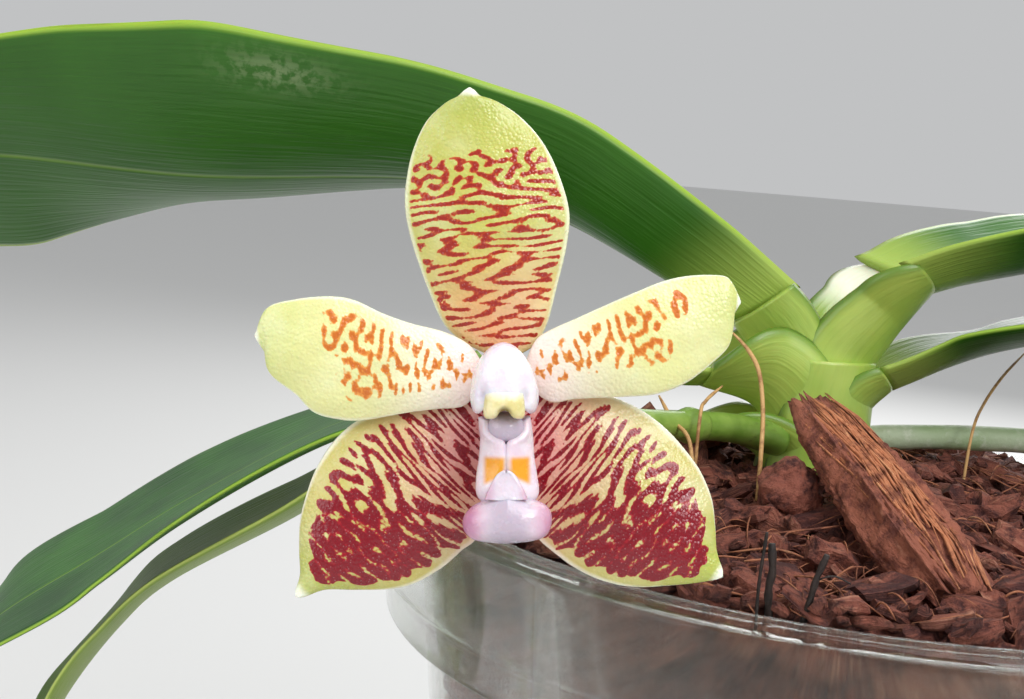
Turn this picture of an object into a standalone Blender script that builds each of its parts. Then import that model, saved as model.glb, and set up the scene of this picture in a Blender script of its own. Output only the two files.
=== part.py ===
"""Potted moth orchid: a clear pot of bark, a leaning stem of leaf sheaths with five
arching leaves, and one open flower on a short spike.

Sizes are in millimetres and are scaled to metres when a mesh is made. Up is +Z, the flower
faces -Y, and the origin is the centre of the pot's flat base.
"""

import math

import bmesh
import bpy
import numpy as np

for item in list(bpy.data.objects):
    bpy.data.objects.remove(item, do_unlink=True)

MM = 0.001
GAP = 0.3

POT_HEIGHT = 125.0
POT_RIM_RADIUS = 72.0
POT_BODY_RADIUS = 67.5
POT_BASE_RADIUS = 53.0
POT_WALL = 1.5
COLLAR_HEIGHT = 19.5
POT_SEGMENTS = 40

BARK_EDGE_HEIGHT = 123.5
BARK_MOUND = 7.0
BARK_CHIPS = 40

STEM_RADIUS = 5.6
STEM_LINE = [(-6.4, 3.6, 118.0), (-6.8, 3.8, 130.0), (-7.7, 5.0, 141.0), (-7.6, 5.8, 149.0)]

TEPAL_THICKNESS = 1.1
FLOWER_CENTRE = np.array([-55.7, -69.5, 150.8])
FLOWER_PITCH = math.radians(7.2)
FLOWER_ROLL = math.radians(4.8)


def finish(name, colour, roughness):
    """A plain surface finish of one colour."""
    made = bpy.data.materials.new(name)
    made.use_nodes = True
    shader = made.node_tree.nodes["Principled BSDF"]
    shader.inputs["Base Color"].default_value = (*colour, 1.0)
    shader.inputs["Roughness"].default_value = roughness
    shader.inputs["Metallic"].default_value = 0.0
    made.diffuse_color = (*colour, 1.0)
    return made


def add_solid(name, verts, faces, material=None, smooth=True):
    """Make one object from points in millimetres."""
    mesh = bpy.data.meshes.new(name)
    mesh.from_pydata([tuple(p) for p in np.asarray(verts) * MM], [], [tuple(f) for f in faces])
    tidy = bmesh.new()
    tidy.from_mesh(mesh)
    bmesh.ops.recalc_face_normals(tidy, faces=tidy.faces)
    if tidy.calc_volume(signed=True) < 0:
        bmesh.ops.reverse_faces(tidy, faces=tidy.faces)
    tidy.to_mesh(mesh)
    tidy.free()
    mesh.polygons.foreach_set("use_smooth", [smooth] * len(mesh.polygons))
    made = bpy.data.objects.new(name, mesh)
    bpy.context.scene.collection.objects.link(made)
    if material:
        mesh.materials.append(material)
    return made


def combine(target, tools, operation, solver="MANIFOLD", smooth=True):
    """Union or subtract a set of tool solids in one step, then remove the tools."""
    group = bpy.data.collections.new(target.name + "_tools")
    bpy.context.scene.collection.children.link(group)
    for tool in tools:
        bpy.context.scene.collection.objects.unlink(tool)
        group.objects.link(tool)
        tool.hide_render = True
        tool.display_type = "WIRE"
    step = target.modifiers.new("combine", "BOOLEAN")
    step.operation = operation
    step.solver = solver
    step.operand_type = "COLLECTION"
    step.collection = group
    bpy.context.view_layer.update()
    seen = target.evaluated_get(bpy.context.evaluated_depsgraph_get())
    result = bpy.data.meshes.new_from_object(seen)
    target.modifiers.clear()
    target.data = result
    for tool in list(group.objects):
        bpy.data.objects.remove(tool, do_unlink=True)
    bpy.data.collections.remove(group)
    result.polygons.foreach_set("use_smooth", [smooth] * len(result.polygons))
    return target


def main_shell(target):
    """Keep only the largest connected shell: trapped voids fill in and crumbs drop away."""
    work = bmesh.new()
    work.from_mesh(target.data)
    unseen = set(work.faces)
    shells = []
    while unseen:
        front = [unseen.pop()]
        shell = []
        while front:
            face = front.pop()
            shell.append(face)
            for edge in face.edges:
                for other in edge.link_faces:
                    if other in unseen:
                        unseen.remove(other)
                        front.append(other)
        shells.append(shell)
    shells.sort(key=len)
    for shell in shells[:-1]:
        bmesh.ops.delete(work, geom=shell, context="FACES")
    work.to_mesh(target.data)
    work.free()


def through(points, count):
    """Smooth curve through the given points, resampled at even lengths along it."""
    knots = np.asarray(points, float)
    padded = np.vstack([2 * knots[0] - knots[1], knots, 2 * knots[-1] - knots[-2]])
    fine = []
    for i in range(1, len(padded) - 2):
        a, b, c, d = padded[i - 1], padded[i], padded[i + 1], padded[i + 2]
        t = np.linspace(0, 1, 24, endpoint=False)[:, None]
        fine.append(0.5 * (2 * b + (c - a) * t + (2 * a - 5 * b + 4 * c - d) * t ** 2
                           + (3 * b - a - 3 * c + d) * t ** 3))
    fine = np.vstack(fine + [knots[-1:]])
    length = np.concatenate([[0], np.cumsum(np.linalg.norm(np.diff(fine[:, :3], axis=0), axis=1))])
    wanted = np.linspace(0, length[-1], count)
    return np.stack([np.interp(wanted, length, fine[:, k]) for k in range(fine.shape[1])], 1)


def unit(vectors):
    """Vectors scaled to length one."""
    return vectors / np.maximum(np.linalg.norm(vectors, axis=-1, keepdims=True), 1e-9)


def slab(name, grid, thickness, material=None):
    """Closed blade of the given thickness on both sides of a grid of middle points."""
    rows, cols = grid.shape[:2]
    normal = unit(np.cross(np.gradient(grid, axis=0), np.gradient(grid, axis=1)))
    half = normal * (np.broadcast_to(thickness, (rows, cols)) / 2)[..., None]
    verts = np.vstack([(grid + half).reshape(-1, 3), (grid - half).reshape(-1, 3)])
    under = rows * cols
    faces = []
    for i in range(rows - 1):
        for j in range(cols - 1):
            a, b = i * cols + j, i * cols + j + 1
            c, d = b + cols, a + cols
            faces += [(a, b, c), (a, c, d)]
            faces += [(under + a, under + c, under + b), (under + a, under + d, under + c)]
    edge = [j for j in range(cols)]
    edge += [i * cols + cols - 1 for i in range(1, rows)]
    edge += [(rows - 1) * cols + j for j in range(cols - 2, -1, -1)]
    edge += [i * cols for i in range(rows - 2, 0, -1)]
    for k, a in enumerate(edge):
        b = edge[(k + 1) % len(edge)]
        faces += [(a, under + a, under + b), (a, under + b, b)]
    return add_solid(name, verts, faces, material)


def rod(name, path, radii, sides, material=None, squash=1.0, wide=(1.0, 0.0, 0.0)):
    """Round or oval rod along a path, closed by a flat face at each end."""
    path = np.asarray(path, float)
    radii = np.broadcast_to(np.asarray(radii, float), len(path))
    along = unit(np.gradient(path, axis=0))
    across = unit(np.asarray(wide) - along * (along @ np.asarray(wide))[:, None])
    upward = np.cross(along, across)
    turn = np.linspace(0, 2 * math.pi, sides, endpoint=False)
    ring = (across[:, None] * np.cos(turn)[None, :, None]
            + upward[:, None] * np.sin(turn)[None, :, None] * squash)
    verts = (path[:, None] + ring * radii[:, None, None]).reshape(-1, 3)
    faces = []
    for i in range(len(path) - 1):
        for j in range(sides):
            a, b = i * sides + j, i * sides + (j + 1) % sides
            faces.append((a, b, b + sides, a + sides))
    faces.append(tuple(range(sides - 1, -1, -1)))
    faces.append(tuple((len(path) - 1) * sides + j for j in range(sides)))
    return add_solid(name, verts, faces, material)


def lump(name, centre, radii, rings=8, sides=12, material=None, shape=None):
    """Closed egg-like body; shape may bend its unit-sphere points before scaling."""
    polar = np.linspace(0, math.pi, rings + 1)[1:-1]
    turn = np.linspace(0, 2 * math.pi, sides, endpoint=False)
    ball = np.stack([np.outer(np.sin(polar), np.cos(turn)),
                     np.outer(np.sin(polar), np.sin(turn)),
                     np.outer(np.cos(polar), np.ones(sides))], -1).reshape(-1, 3)
    ball = np.vstack([ball, [[0, 0, 1], [0, 0, -1]]])
    if shape:
        ball = shape(ball)
    verts = ball * np.asarray(radii) + np.asarray(centre)
    faces = []
    for i in range(rings - 2):
        for j in range(sides):
            a, b = i * sides + j, i * sides + (j + 1) % sides
            faces.append((a, b, b + sides, a + sides))
    top, low = len(ball) - 2, len(ball) - 1
    last = (rings - 2) * sides
    for j in range(sides):
        faces.append((top, (j + 1) % sides, j))
        faces.append((low, last + j, last + (j + 1) % sides))
    return add_solid(name, verts, faces, material)


def turned(name, profile, segments, material=None):
    """Solid of revolution about the Z axis; profile ends on the axis at both ends."""
    turn = np.linspace(0, 2 * math.pi, segments, endpoint=False)
    middle = np.asarray(profile[1:-1], float)
    rings = np.stack([np.outer(middle[:, 0], np.cos(turn)),
                      np.outer(middle[:, 0], np.sin(turn)),
                      np.repeat(middle[:, 1:], segments, axis=1)], -1).reshape(-1, 3)
    verts = np.vstack([rings, [[0, 0, profile[0][1]], [0, 0, profile[-1][1]]]])
    faces = []
    for i in range(len(middle) - 1):
        for j in range(segments):
            a, b = i * segments + j, i * segments + (j + 1) % segments
            faces.append((a, b, b + segments, a + segments))
    first, last = len(verts) - 2, len(verts) - 1
    tail = (len(middle) - 1) * segments
    for j in range(segments):
        faces.append((first, (j + 1) % segments, j))
        faces.append((last, tail + j, tail + (j + 1) % segments))
    return add_solid(name, verts, faces, material)


# Pot. Clear plastic: a tapering body whose flat lip turns down into a wide skirt with one
# ridge, and eight drainage holes around the solid middle of its base.

clear_plastic = finish("clear_plastic", (0.20, 0.23, 0.20), 0.12)
skirt_z = POT_HEIGHT - COLLAR_HEIGHT
inner_base = POT_BASE_RADIUS - POT_WALL
inner_top = POT_BODY_RADIUS - POT_WALL
pot_profile = [
    (0, 0), (POT_BASE_RADIUS - 1.2, 0), (POT_BASE_RADIUS, 1.2),
    (POT_BODY_RADIUS, POT_HEIGHT - 2.2), (POT_BODY_RADIUS + 0.5, POT_HEIGHT - 1.7),
    (POT_RIM_RADIUS - 2.1, POT_HEIGHT - 1.7), (POT_RIM_RADIUS - 1.6, POT_HEIGHT - 2.3),
    (POT_RIM_RADIUS - 1.7, skirt_z + 0.6), (POT_RIM_RADIUS - 1.2, skirt_z),
    (POT_RIM_RADIUS - 0.5, skirt_z + 0.4), (POT_RIM_RADIUS - 0.3, skirt_z + 5.2),
    (POT_RIM_RADIUS + 0.2, skirt_z + 5.8), (POT_RIM_RADIUS - 0.2, skirt_z + 6.6),
    (POT_RIM_RADIUS, POT_HEIGHT - 2.2), (POT_RIM_RADIUS - 0.4, POT_HEIGHT - 0.5),
    (POT_RIM_RADIUS - 1.2, POT_HEIGHT), (POT_RIM_RADIUS - 2.0, POT_HEIGHT - 0.3),
    (inner_top + 1.2, POT_HEIGHT - 0.7), (inner_top + 0.5, POT_HEIGHT - 0.4),
    (inner_top, POT_HEIGHT - 1.0), (inner_base, 2.4), (inner_base - 1.0, POT_WALL), (0, POT_WALL),
]
pot = turned("pot", pot_profile, POT_SEGMENTS, clear_plastic)
drains = []
for k in range(8):
    a = (k + 0.5) * math.pi / 4
    spot = np.array([38 * math.cos(a), 38 * math.sin(a), 0])
    drains.append(rod("drain", [spot + (0, 0, -1), spot + (0, 0, 3)], 4.0, 16))
combine(pot, drains, "DIFFERENCE", "EXACT")


# Stem and leaf sheaths. Short stem hidden in clasping leaf bases. Each base wraps most of the
# way round, opens toward its own side and flares into the channel that carries the blade. An
# old base that has lost its leaf stands round the foot of them all.


def spread(pairs, share):
    """Values at the given shares of a length, from (share, value) pairs."""
    return np.interp(share, [p[0] for p in pairs], [p[1] for p in pairs])


def sheath(spec, grow=0.0, rows=7, across=7):
    """Clasping leaf base from its keel, its radii and its half fold angles.

    Each cross-section is an arc: a point at angle a stands at radius * (1 - cos a) along
    the facing direction and radius * sin a to the side, up to the fold angle either way.
    Grow thickens it and carries its open end a little further. A flare of 1 turns the open
    side up toward the end, as under a leaf; a flare of 0 keeps the base an upright ring.
    """
    path, radii, folds, flare = spec
    line = through(path, rows)
    line[-1] += unit(line[-1] - line[-2]) * grow / 2
    share = np.linspace(0, 1, rows)
    along = unit(np.gradient(line, axis=0))
    toward = -math.copysign(1.0, path[-1][0] - path[0][0])
    facing = np.stack([toward * (1 - flare * share) ** 1.5, 0.1 * flare * share,
                       flare * (0.3 + share)], 1)
    facing = unit(facing - along * (facing * along).sum(1, keepdims=True))
    side = np.cross(along, facing)
    stations = np.linspace(0, 1, len(radii))
    radius = np.interp(share, stations, radii)[:, None]
    half_angle = np.interp(share, stations, folds)[:, None] + grow / 2 / radius
    angle = half_angle * np.linspace(-1, 1, across)
    grid = (line[:, None] + facing[:, None] * (radius * (1 - np.cos(angle)))[..., None]
            + side[:, None] * (radius * np.sin(angle))[..., None])
    return slab("sheath", grid, 1.8 + grow)


SHEATHS = [
    ([(-13.6, 5.0, 141.5), (-14.6, 5.3, 144.7), (-16.6, 5.7, 147.6), (-20.0, 6.1, 151.4)],
     [5.8, 6.6, 7.6, 8.5], [2.3, 2.1, 1.9, 1.7], 1.0),
    ([(-0.6, 4.8, 138.0), (0.5, 5.3, 144.4), (3.7, 6.1, 150.5), (9.0, 7.0, 158.4)],
     [6.6, 7.6, 9.5, 16.5], [2.3, 2.2, 1.7, 0.95], 1.0),
    ([(-12.0, 3.6, 126.0), (-12.9, 4.0, 133.5), (-16.0, 4.6, 139.1), (-24.8, 4.9, 141.5)],
     [6.0, 6.9, 8.6, 13.5], [2.4, 2.4, 2.0, 0.7], 1.0),
    ([(-1.2, 3.6, 126.0), (-0.9, 4.1, 134.0), (1.0, 4.7, 139.2), (4.2, 5.1, 142.8)],
     [7.0, 7.4, 7.8, 10.0], [1.9, 1.8, 1.5, 1.05], 1.0),
    ([(-12.4, 3.4, 124.0), (-13.4, 3.2, 129.6), (-17.2, 3.0, 132.8), (-23.5, 2.9, 133.9)],
     [7.2, 7.4, 8.5, 12.0], [1.8, 1.6, 1.2, 0.6], 1.0),
    ([(0.8, 3.7, 124.6), (1.1, 3.9, 132.0), (1.3, 4.3, 140.0), (1.2, 4.8, 146.6)],
     [8.2, 8.1, 8.3, 8.4], [2.7, 2.6, 2.4, 2.1], 0.0),
]
fresh_green = finish("sheath_green", (0.42, 0.55, 0.16), 0.38)
stem_radii = STEM_RADIUS * np.array([0.8, 0.95, 1, 1, 1, 0.95, 0.8, 0.5])
stem = rod("stem", through(STEM_LINE, 8), stem_radii, 14, fresh_green, squash=0.9)
combine(stem, [sheath(spec) for spec in SHEATHS], "UNION", "MANIFOLD")
main_shell(stem)


def seat_on_stem(made):
    """Trim a piece back from the sheaths so that it ends a hair short of them."""
    combine(made, [sheath(spec, 2 * GAP) for spec in SHEATHS], "DIFFERENCE", "MANIFOLD")
    main_shell(made)
    return made


# Leaves. Thick strap leaves with a channelled upper face. Each starts a hair above its sheath, at
# the line where an old leaf would drop, then widens, arches and narrows to a blunt tip.

leaf_green = finish("leaf_green", (0.07, 0.16, 0.03), 0.36)
lime_green = finish("leaf_lime", (0.24, 0.32, 0.06), 0.40)


def leaf(name, keel, near, far, near_lift, far_lift, slant, wave, material, rows=18, across=7):
    """Strap leaf hung on its keel.

    The near and far margins stand off the keel by their half widths, lifted from the level
    by their own angles; slant carries both margins along the keel near the base. A point at
    v across, from -1 at the far margin to 1 at the near one, is keel + v * (near - far) / 2
    + v^2 * (near + far) / 2, plus a slow sine wave that grows toward both margins.
    """
    line = through(keel, rows)
    share = np.linspace(0, 1, rows)
    along = unit(np.gradient(line, axis=0))
    level = unit(np.cross(along, (0, 0, 1.0)))
    level = level * np.where(level[:, 1:2] > 0, -1, 1)
    above = np.cross(along, level)
    above = above * np.where((above[:, 2:3] < 0) & (np.abs(above[:, 2:3]) > 0.02), -1, 1)
    lift, drop = np.radians(spread(near_lift, share)), np.radians(spread(far_lift, share))
    lift, drop = lift[:, None], drop[:, None]
    to_near = spread(near, share)[:, None] * (level * np.cos(lift) + above * np.sin(lift))
    to_far = spread(far, share)[:, None] * (-level * np.cos(drop) + above * np.sin(drop))
    carried = along * spread(slant, share)[:, None]
    to_near, to_far = to_near + carried, to_far + carried
    v = np.linspace(-1, 1, across)[None, :, None]
    grid = (line[:, None] + v * (to_near - to_far)[:, None] / 2
            + v ** 2 * (to_near + to_far)[:, None] / 2)
    ripple = wave * np.sin(14 * share + 0.6) * np.sin(math.pi * share) ** 0.7
    grid = grid + above[:, None] * (v ** 2 * np.where(v < 0, 1.0, 0.35)) * ripple[:, None, None]
    thick = (2.0 - 0.9 * share)[:, None] * (1 - 0.42 * v[..., 0] ** 2)
    return seat_on_stem(slab(name, grid, np.maximum(thick, 0.7), material))


leaf("leaf_left_upper",
     [(-20.6, 6.1, 151.9), (-32, 7, 157.8), (-47, 8, 165), (-59, 8, 169), (-75, 8.5, 170),
      (-107, 8, 167.5), (-138, 8, 168), (-154, 8, 166), (-173, 8, 157), (-190, 8, 142)],
     [(0, 11), (0.1, 15.6), (0.2, 19.6), (0.3, 23.6), (0.48, 28.2), (0.6, 25.7), (0.7, 22.5), (0.85, 18),
      (0.94, 11), (1, 2.5)],
     [(0, 11.5), (0.1, 20), (0.25, 27), (0.8, 26.5), (0.92, 17), (1, 2.5)],
     [(0, 60), (0.1, 51), (0.25, 43), (0.45, 50), (0.6, 48), (0.75, 38), (1, 10)],
     [(0, 46), (0.15, 17), (0.4, -2), (0.5, -10), (0.68, -35), (0.9, -33), (1, -16)],
     [(0, -5.6), (0.1, -4), (0.3, 0)], 1.6, leaf_green, rows=22)
leaf("leaf_left_middle",
     [(-25.6, 4.9, 141.6), (-38, 4, 140.8), (-53, 2, 138), (-67, 1, 134), (-81, -1, 130), (-101, -4, 118),
      (-115, -7, 108), (-129, -11, 98), (-141, -13, 85), (-149, -16, 71)],
     [(0, 7.8), (0.2, 17), (0.5, 21.5), (0.7, 18.5), (0.9, 9), (1, 2.2)],
     [(0, 8.2), (0.2, 18), (0.5, 25), (0.75, 25), (0.9, 17), (1, 2.2)],
     [(0, 20), (0.3, 10), (0.8, 2), (1, 4)],
     [(0, 12), (0.15, 0), (0.6, 3), (1, 6)],
     [(0, -2), (0.2, 0)], 1.0, leaf_green)
leaf("leaf_left_lower",
     [(-24.3, 2.9, 134.0), (-40, 2, 132.4), (-59, 0, 131), (-72, 0, 127.4), (-86, -1, 117), (-104, -3, 106),
      (-112, -4, 98), (-121, -5, 84), (-127, -7, 68)],
     [(0, 6.6), (0.3, 14.5), (0.65, 15.5), (0.85, 11), (1, 2.2)],
     [(0, 6.6), (0.3, 15), (0.7, 16), (0.88, 11.5), (1, 2.2)],
     [(0, 20), (0.3, 15), (1, 11)],
     [(0, 14), (0.2, 3), (0.5, 3), (0.9, 10), (1, 7)],
     [(0, -1), (0.2, 0)], 0.9, lime_green)
leaf("leaf_right_upper",
     [(9.7, 7.0, 158.9), (15, 7.2, 160.8), (25, 8, 163.4), (40, 9, 167), (70, 11, 168), (101, 12, 160),
      (125, 11, 146), (144, 11, 130)],
     [(0, 15), (0.15, 22), (0.35, 24.5), (0.6, 21), (0.8, 14), (0.92, 8), (1, 2.2)],
     [(0, 14.5), (0.15, 21), (0.35, 25), (0.6, 22.5), (0.8, 15.5), (0.92, 9), (1, 2.2)],
     [(0, 28), (0.3, 17), (0.6, 10), (1, 6)],
     [(0, 26), (0.2, 15), (0.6, 20), (1, 20)],
     [(0, -7), (0.12, -4), (0.3, 0)], 1.2, leaf_green)
leaf("leaf_right_lower",
     [(4.9, 5.1, 143.3), (14, 5, 148), (25, 3, 152.3), (43, 2, 156), (66, 1, 155), (89, -1, 147),
      (108, -4, 134), (120, -6, 120)],
     [(0, 9.6), (0.1, 15), (0.3, 20.5), (0.55, 19), (0.8, 12), (0.92, 7), (1, 2.2)],
     [(0, 9.0), (0.1, 15), (0.3, 21), (0.6, 21), (0.8, 15), (0.92, 9), (1, 2.2)],
     [(0, 30), (0.12, 16), (0.5, 10), (1, 6)],
     [(0, 26), (0.12, 4), (0.6, 5), (1, 12)],
     [(0, -2), (0.2, 0)], 1.0, leaf_green)


# Roots. One thick silvery root lies on the bark at the right and dives into it. Below the stem a
# buried crown carries three more, which spiral down against the pot's wall.

silver_green = finish("root_silver", (0.50, 0.58, 0.42), 0.62)
ROOT_RADIUS = 1.75
SURFACE_ROOT = [(-1.0, 4.2, 134.2), (12, 4.2, 135.6), (27, 4.3, 136.2), (37, 5.2, 134.2),
                (44, 6.6, 128.4), (47.5, 8, 119), (49.5, 9, 106), (50.5, 10, 92)]


def pot_inside(z):
    """Inner radius of the pot's body at height z."""
    return inner_base + (POT_BODY_RADIUS - POT_WALL - inner_base) * (z - 2.4) / (POT_HEIGHT - 3.4)


def wall_root(start, turn, low):
    """Root path from the crown outward, then winding down along the pot's wall."""
    t = np.linspace(0, 1, 11)
    z = 112 - (112 - low) * t ** 1.1
    reach = (pot_inside(z) - GAP - ROOT_RADIUS) * (1 - (1 - np.minimum(t * 2.2, 1)) ** 2.2)
    angle = np.radians(start + turn * t)
    middle = (1 - np.minimum(t * 2.2, 1)) ** 2.2
    return np.stack([reach * np.cos(angle) - 6.0 * middle, reach * np.sin(angle) + 3.6 * middle, z], 1)


WALL_ROOTS = [wall_root(-150, 70, 34), wall_root(-62, 64, 48), wall_root(70, 75, 30)]
CROWN = [(-6.4, 3.6, 117.6), (-6.1, 3.6, 112.0), (-5.6, 3.6, 106.5)]
surface_root = through(SURFACE_ROOT, 15)
surface_radii = ROOT_RADIUS * np.interp(np.arange(15), [0, 1, 11, 14], [1.0, 1.15, 1, 0.6])
seat_on_stem(rod("root_upper", surface_root, surface_radii, 10, silver_green, wide=(0, 1, 0)))
roots = rod("roots_lower", CROWN, [4.2, 4.4, 3.0], 14, silver_green)
branches = [rod("branch", path, ROOT_RADIUS, 8, wide=(0, 0, 1)) for path in WALL_ROOTS]
combine(roots, branches, "UNION", "MANIFOLD")


# Husk chunk. Large fibrous slab of bark, thicker at its foot, leaning back on the mix.

bark_brown = finish("bark_brown", (0.27, 0.12, 0.07), 0.88)
CHUNK_LINE = [(1.6, -50.0, 124.8), (-2.2, -40, 129.2), (-7.2, -27, 136.0), (-11.4, -15.5, 142.0)]


def chunk(name, grow, material=None):
    """Six-sided slab swept along the leaning line; grow widens it all round."""
    line = through(CHUNK_LINE, 9)
    line[0] += (line[0] - line[1]) * 0.05 * grow
    share = np.linspace(0, 1, 9)
    wide = np.interp(share, [0, 0.15, 0.5, 0.85, 1], [4.4, 6.2, 5.8, 5.2, 3.6]) + grow
    high = np.interp(share, [0, 0.15, 0.5, 0.85, 1], [2.8, 4.4, 4.8, 3.4, 1.8]) + grow
    along = unit(np.gradient(line, axis=0))
    side = unit(np.cross(along, (0, 0, 1.0)))
    over = np.cross(side, along)
    corner = [(1.0, 0.1), (0.62, 0.95), (-0.05, 0.8), (-0.7, 1.0), (-1.0, -0.15), (-0.45, -1.0),
              (0.5, -0.85)]
    verts = np.concatenate([line[:, None] + side[:, None] * (c[0] * wide)[:, None, None]
                            + over[:, None] * (c[1] * high)[:, None, None] for c in corner], 1)
    sides = len(corner)
    faces = [(i * sides + j, i * sides + (j + 1) % sides, (i + 1) * sides + (j + 1) % sides,
              (i + 1) * sides + j) for i in range(8) for j in range(sides)]
    faces += [tuple(range(sides)), tuple(8 * sides + j for j in range(sides))]
    return add_solid(name, verts.reshape(-1, 3), faces, material, smooth=False)


chunk("husk_chunk", 0.0, bark_brown)


# Bark mix. Bark that fills the pot, mounded round the stem, with loose chips, one round nodule
# and two twigs sunk into its top and plain holes where the stem, the roots and the chunk stand.


def bark_top(x, y):
    """Height of the bark: a broad mound at the stem, two low bumps and a shallow ripple."""
    mound = BARK_MOUND * np.exp(-((x + 3) ** 2 + (y - 4) ** 2) / 34 ** 2)
    right = 3.0 * np.exp(-((x - 27) ** 2 + (y + 4) ** 2) / 15 ** 2)
    seat = 2.6 * np.exp(-((x + 4) ** 2 + (y + 31) ** 2) / 12 ** 2)
    return BARK_EDGE_HEIGHT + mound + right + seat + 0.7 * np.sin(0.35 * x + 1) * np.cos(0.31 * y)


def filling():
    """Core of the bark inside the pot."""
    rings = [(pot_inside(2.4) - GAP - 1.4, POT_WALL + GAP), (pot_inside(2.4) - GAP, 3.4),
             (pot_inside(60) - GAP, 60), (pot_inside(118) - GAP, 118), (64.4, None)]
    rings += [(r, None) for r in (59, 51, 43, 35, 27, 19, 10)]
    turn = np.linspace(0, 2 * math.pi, 32, endpoint=False)
    verts = []
    for radius, z in rings:
        x, y = radius * np.cos(turn), radius * np.sin(turn)
        height = bark_top(x, y) - 1.2 * (radius > 64) if z is None else np.full(32, float(z))
        verts.append(np.stack([x, y, height], 1))
    verts = np.vstack(verts + [[[0, 0, POT_WALL + GAP]], [[0, 0, bark_top(0.0, 0.0)]]])
    faces = [(i * 32 + j, i * 32 + (j + 1) % 32, (i + 1) * 32 + (j + 1) % 32, (i + 1) * 32 + j)
             for i in range(len(rings) - 1) for j in range(32)]
    last = (len(rings) - 1) * 32
    faces += [(len(verts) - 2, (j + 1) % 32, j) for j in range(32)]
    faces += [(len(verts) - 1, last + j, last + (j + 1) % 32) for j in range(32)]
    return add_solid("bark_mix", verts, faces, bark_brown, smooth=False)


def chip(centre, size, angles, random):
    """One bark chip: a bent slab of twelve uneven corners."""
    u = np.array([-1, 0, 1])[:, None, None]
    v = np.array([-1, 1])[None, :, None]
    w = np.array([-1, 1])[None, None, :]
    uneven = random.uniform(0.68, 1.12, (3, 2, 2, 3))
    shape = np.stack(np.broadcast_arrays(u + 0 * v + 0 * w, v * (1 - 0.35 * u ** 2) + 0 * w,
                                         w * (1 - 0.4 * u ** 2) + 0.35 * u ** 2 + 0 * v), -1)
    points = (shape * uneven).reshape(-1, 3) * size
    yaw, lean, roll = angles
    for axis, turn in ((0, roll), (1, lean), (2, yaw)):
        c, s = math.cos(turn), math.sin(turn)
        one, two = [(1, 2), (2, 0), (0, 1)][axis]
        first, second = points[:, one].copy(), points[:, two].copy()
        points[:, one], points[:, two] = c * first - s * second, s * first + c * second
    faces = []
    for i in range(2):
        a = i * 4
        faces += [(a, a + 1, a + 5, a + 4), (a + 1, a + 3, a + 7, a + 5),
                  (a + 3, a + 2, a + 6, a + 7), (a + 2, a, a + 4, a + 6)]
    faces += [(0, 2, 3, 1), (8, 9, 11, 10)]
    return add_solid("chip", points + centre, faces)


bark = filling()
random = np.random.default_rng(11)
chips = []
while len(chips) < BARK_CHIPS:
    reach = 60 * math.sqrt(random.uniform(0.0, 1.0))
    way = random.uniform(0, 2 * math.pi)
    x, y = reach * math.cos(way), reach * math.sin(way)
    small = 0.7 if reach > 50 else 1.0
    size = random.uniform((5.0, 2.6, 1.4), (9.0, 4.8, 2.6)) * small
    angles = random.uniform((-3.1, -0.45, -0.5), (3.1, 0.45, 0.5))
    if math.hypot(x + 7, y - 4) < 15 or math.hypot(x + 4, y + 31) < 12:
        continue
    chips.append(chip((x, y, bark_top(x, y) + size[2] * 0.25), size, angles, random))
nodule = lump("nodule", (-15.4, -25.5, 131.2), (4.4, 4.2, 4.6), 7, 10)
twigs = [rod("twig", [(-22.5, -58, 118), (-23.6, -60.5, 127), (-23.8, -61, 132.6)], [0.8, 0.75, 0.6], 6),
         rod("twig", [(-19.4, -59, 118), (-18.9, -61.5, 126), (-18.2, -62.5, 131.8)], [0.8, 0.7, 0.6], 6)]
combine(bark, chips + twigs + [nodule], "UNION", "MANIFOLD", smooth=False)
root_way = np.vstack([surface_root, surface_root[-1] + (0, 0, -0.4)])
root_room = np.append(surface_radii, surface_radii[-1]) + 0.38
holes = [rod("hole", [(-6.4, 3.6, 117.6), (-6.7, 3.7, 123), (-6.9, 3.8, 128), (-7.2, 4.0, 142)],
             [6.4, 10.6, 11.0, 11.4], 24),
         rod("hole", [(-6.4, 3.6, 118.2)] + CROWN[1:] + [(-5.6, 3.6, 106.1)],
             [4.6, 4.8, 3.4, 3.3], 14),
         rod("hole", root_way, root_room, 10, wide=(0, 1, 0)),
         chunk("hole", 0.35)]
for path in WALL_ROOTS:
    longer = np.vstack([path, path[-1] + unit(path[-1] - path[-2]) * 0.4])
    holes.append(rod("hole", longer, ROOT_RADIUS + 0.36, 8, wide=(0, 0, 1)))
combine(bark, holes, "DIFFERENCE", "MANIFOLD", smooth=False)
main_shell(bark)


# Flower. The flower is laid out flat in its own frame: x to its right as seen, y up, z toward the
# viewer, with the foot of the column as origin. The frame leans and rolls a little.

FLOWER_AXES = np.array([
    (math.cos(FLOWER_ROLL), math.sin(FLOWER_ROLL) * math.sin(FLOWER_PITCH),
     math.sin(FLOWER_ROLL) * math.cos(FLOWER_PITCH)),
    (-math.sin(FLOWER_ROLL), math.cos(FLOWER_ROLL) * math.sin(FLOWER_PITCH),
     math.cos(FLOWER_ROLL) * math.cos(FLOWER_PITCH)),
    (0.0, -math.cos(FLOWER_PITCH), math.sin(FLOWER_PITCH)),
])


def placed(points):
    """Flower points moved into the plant's frame."""
    return np.asarray(points, float) @ FLOWER_AXES + FLOWER_CENTRE


def settle(made):
    """Move a finished flower solid from its own frame into the plant's frame."""
    count = len(made.data.vertices)
    flat = np.empty(count * 3)
    made.data.vertices.foreach_get("co", flat)
    moved = placed(flat.reshape(-1, 3) / MM) * MM
    made.data.vertices.foreach_set("co", moved.ravel())
    made.data.update()
    return made


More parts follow.
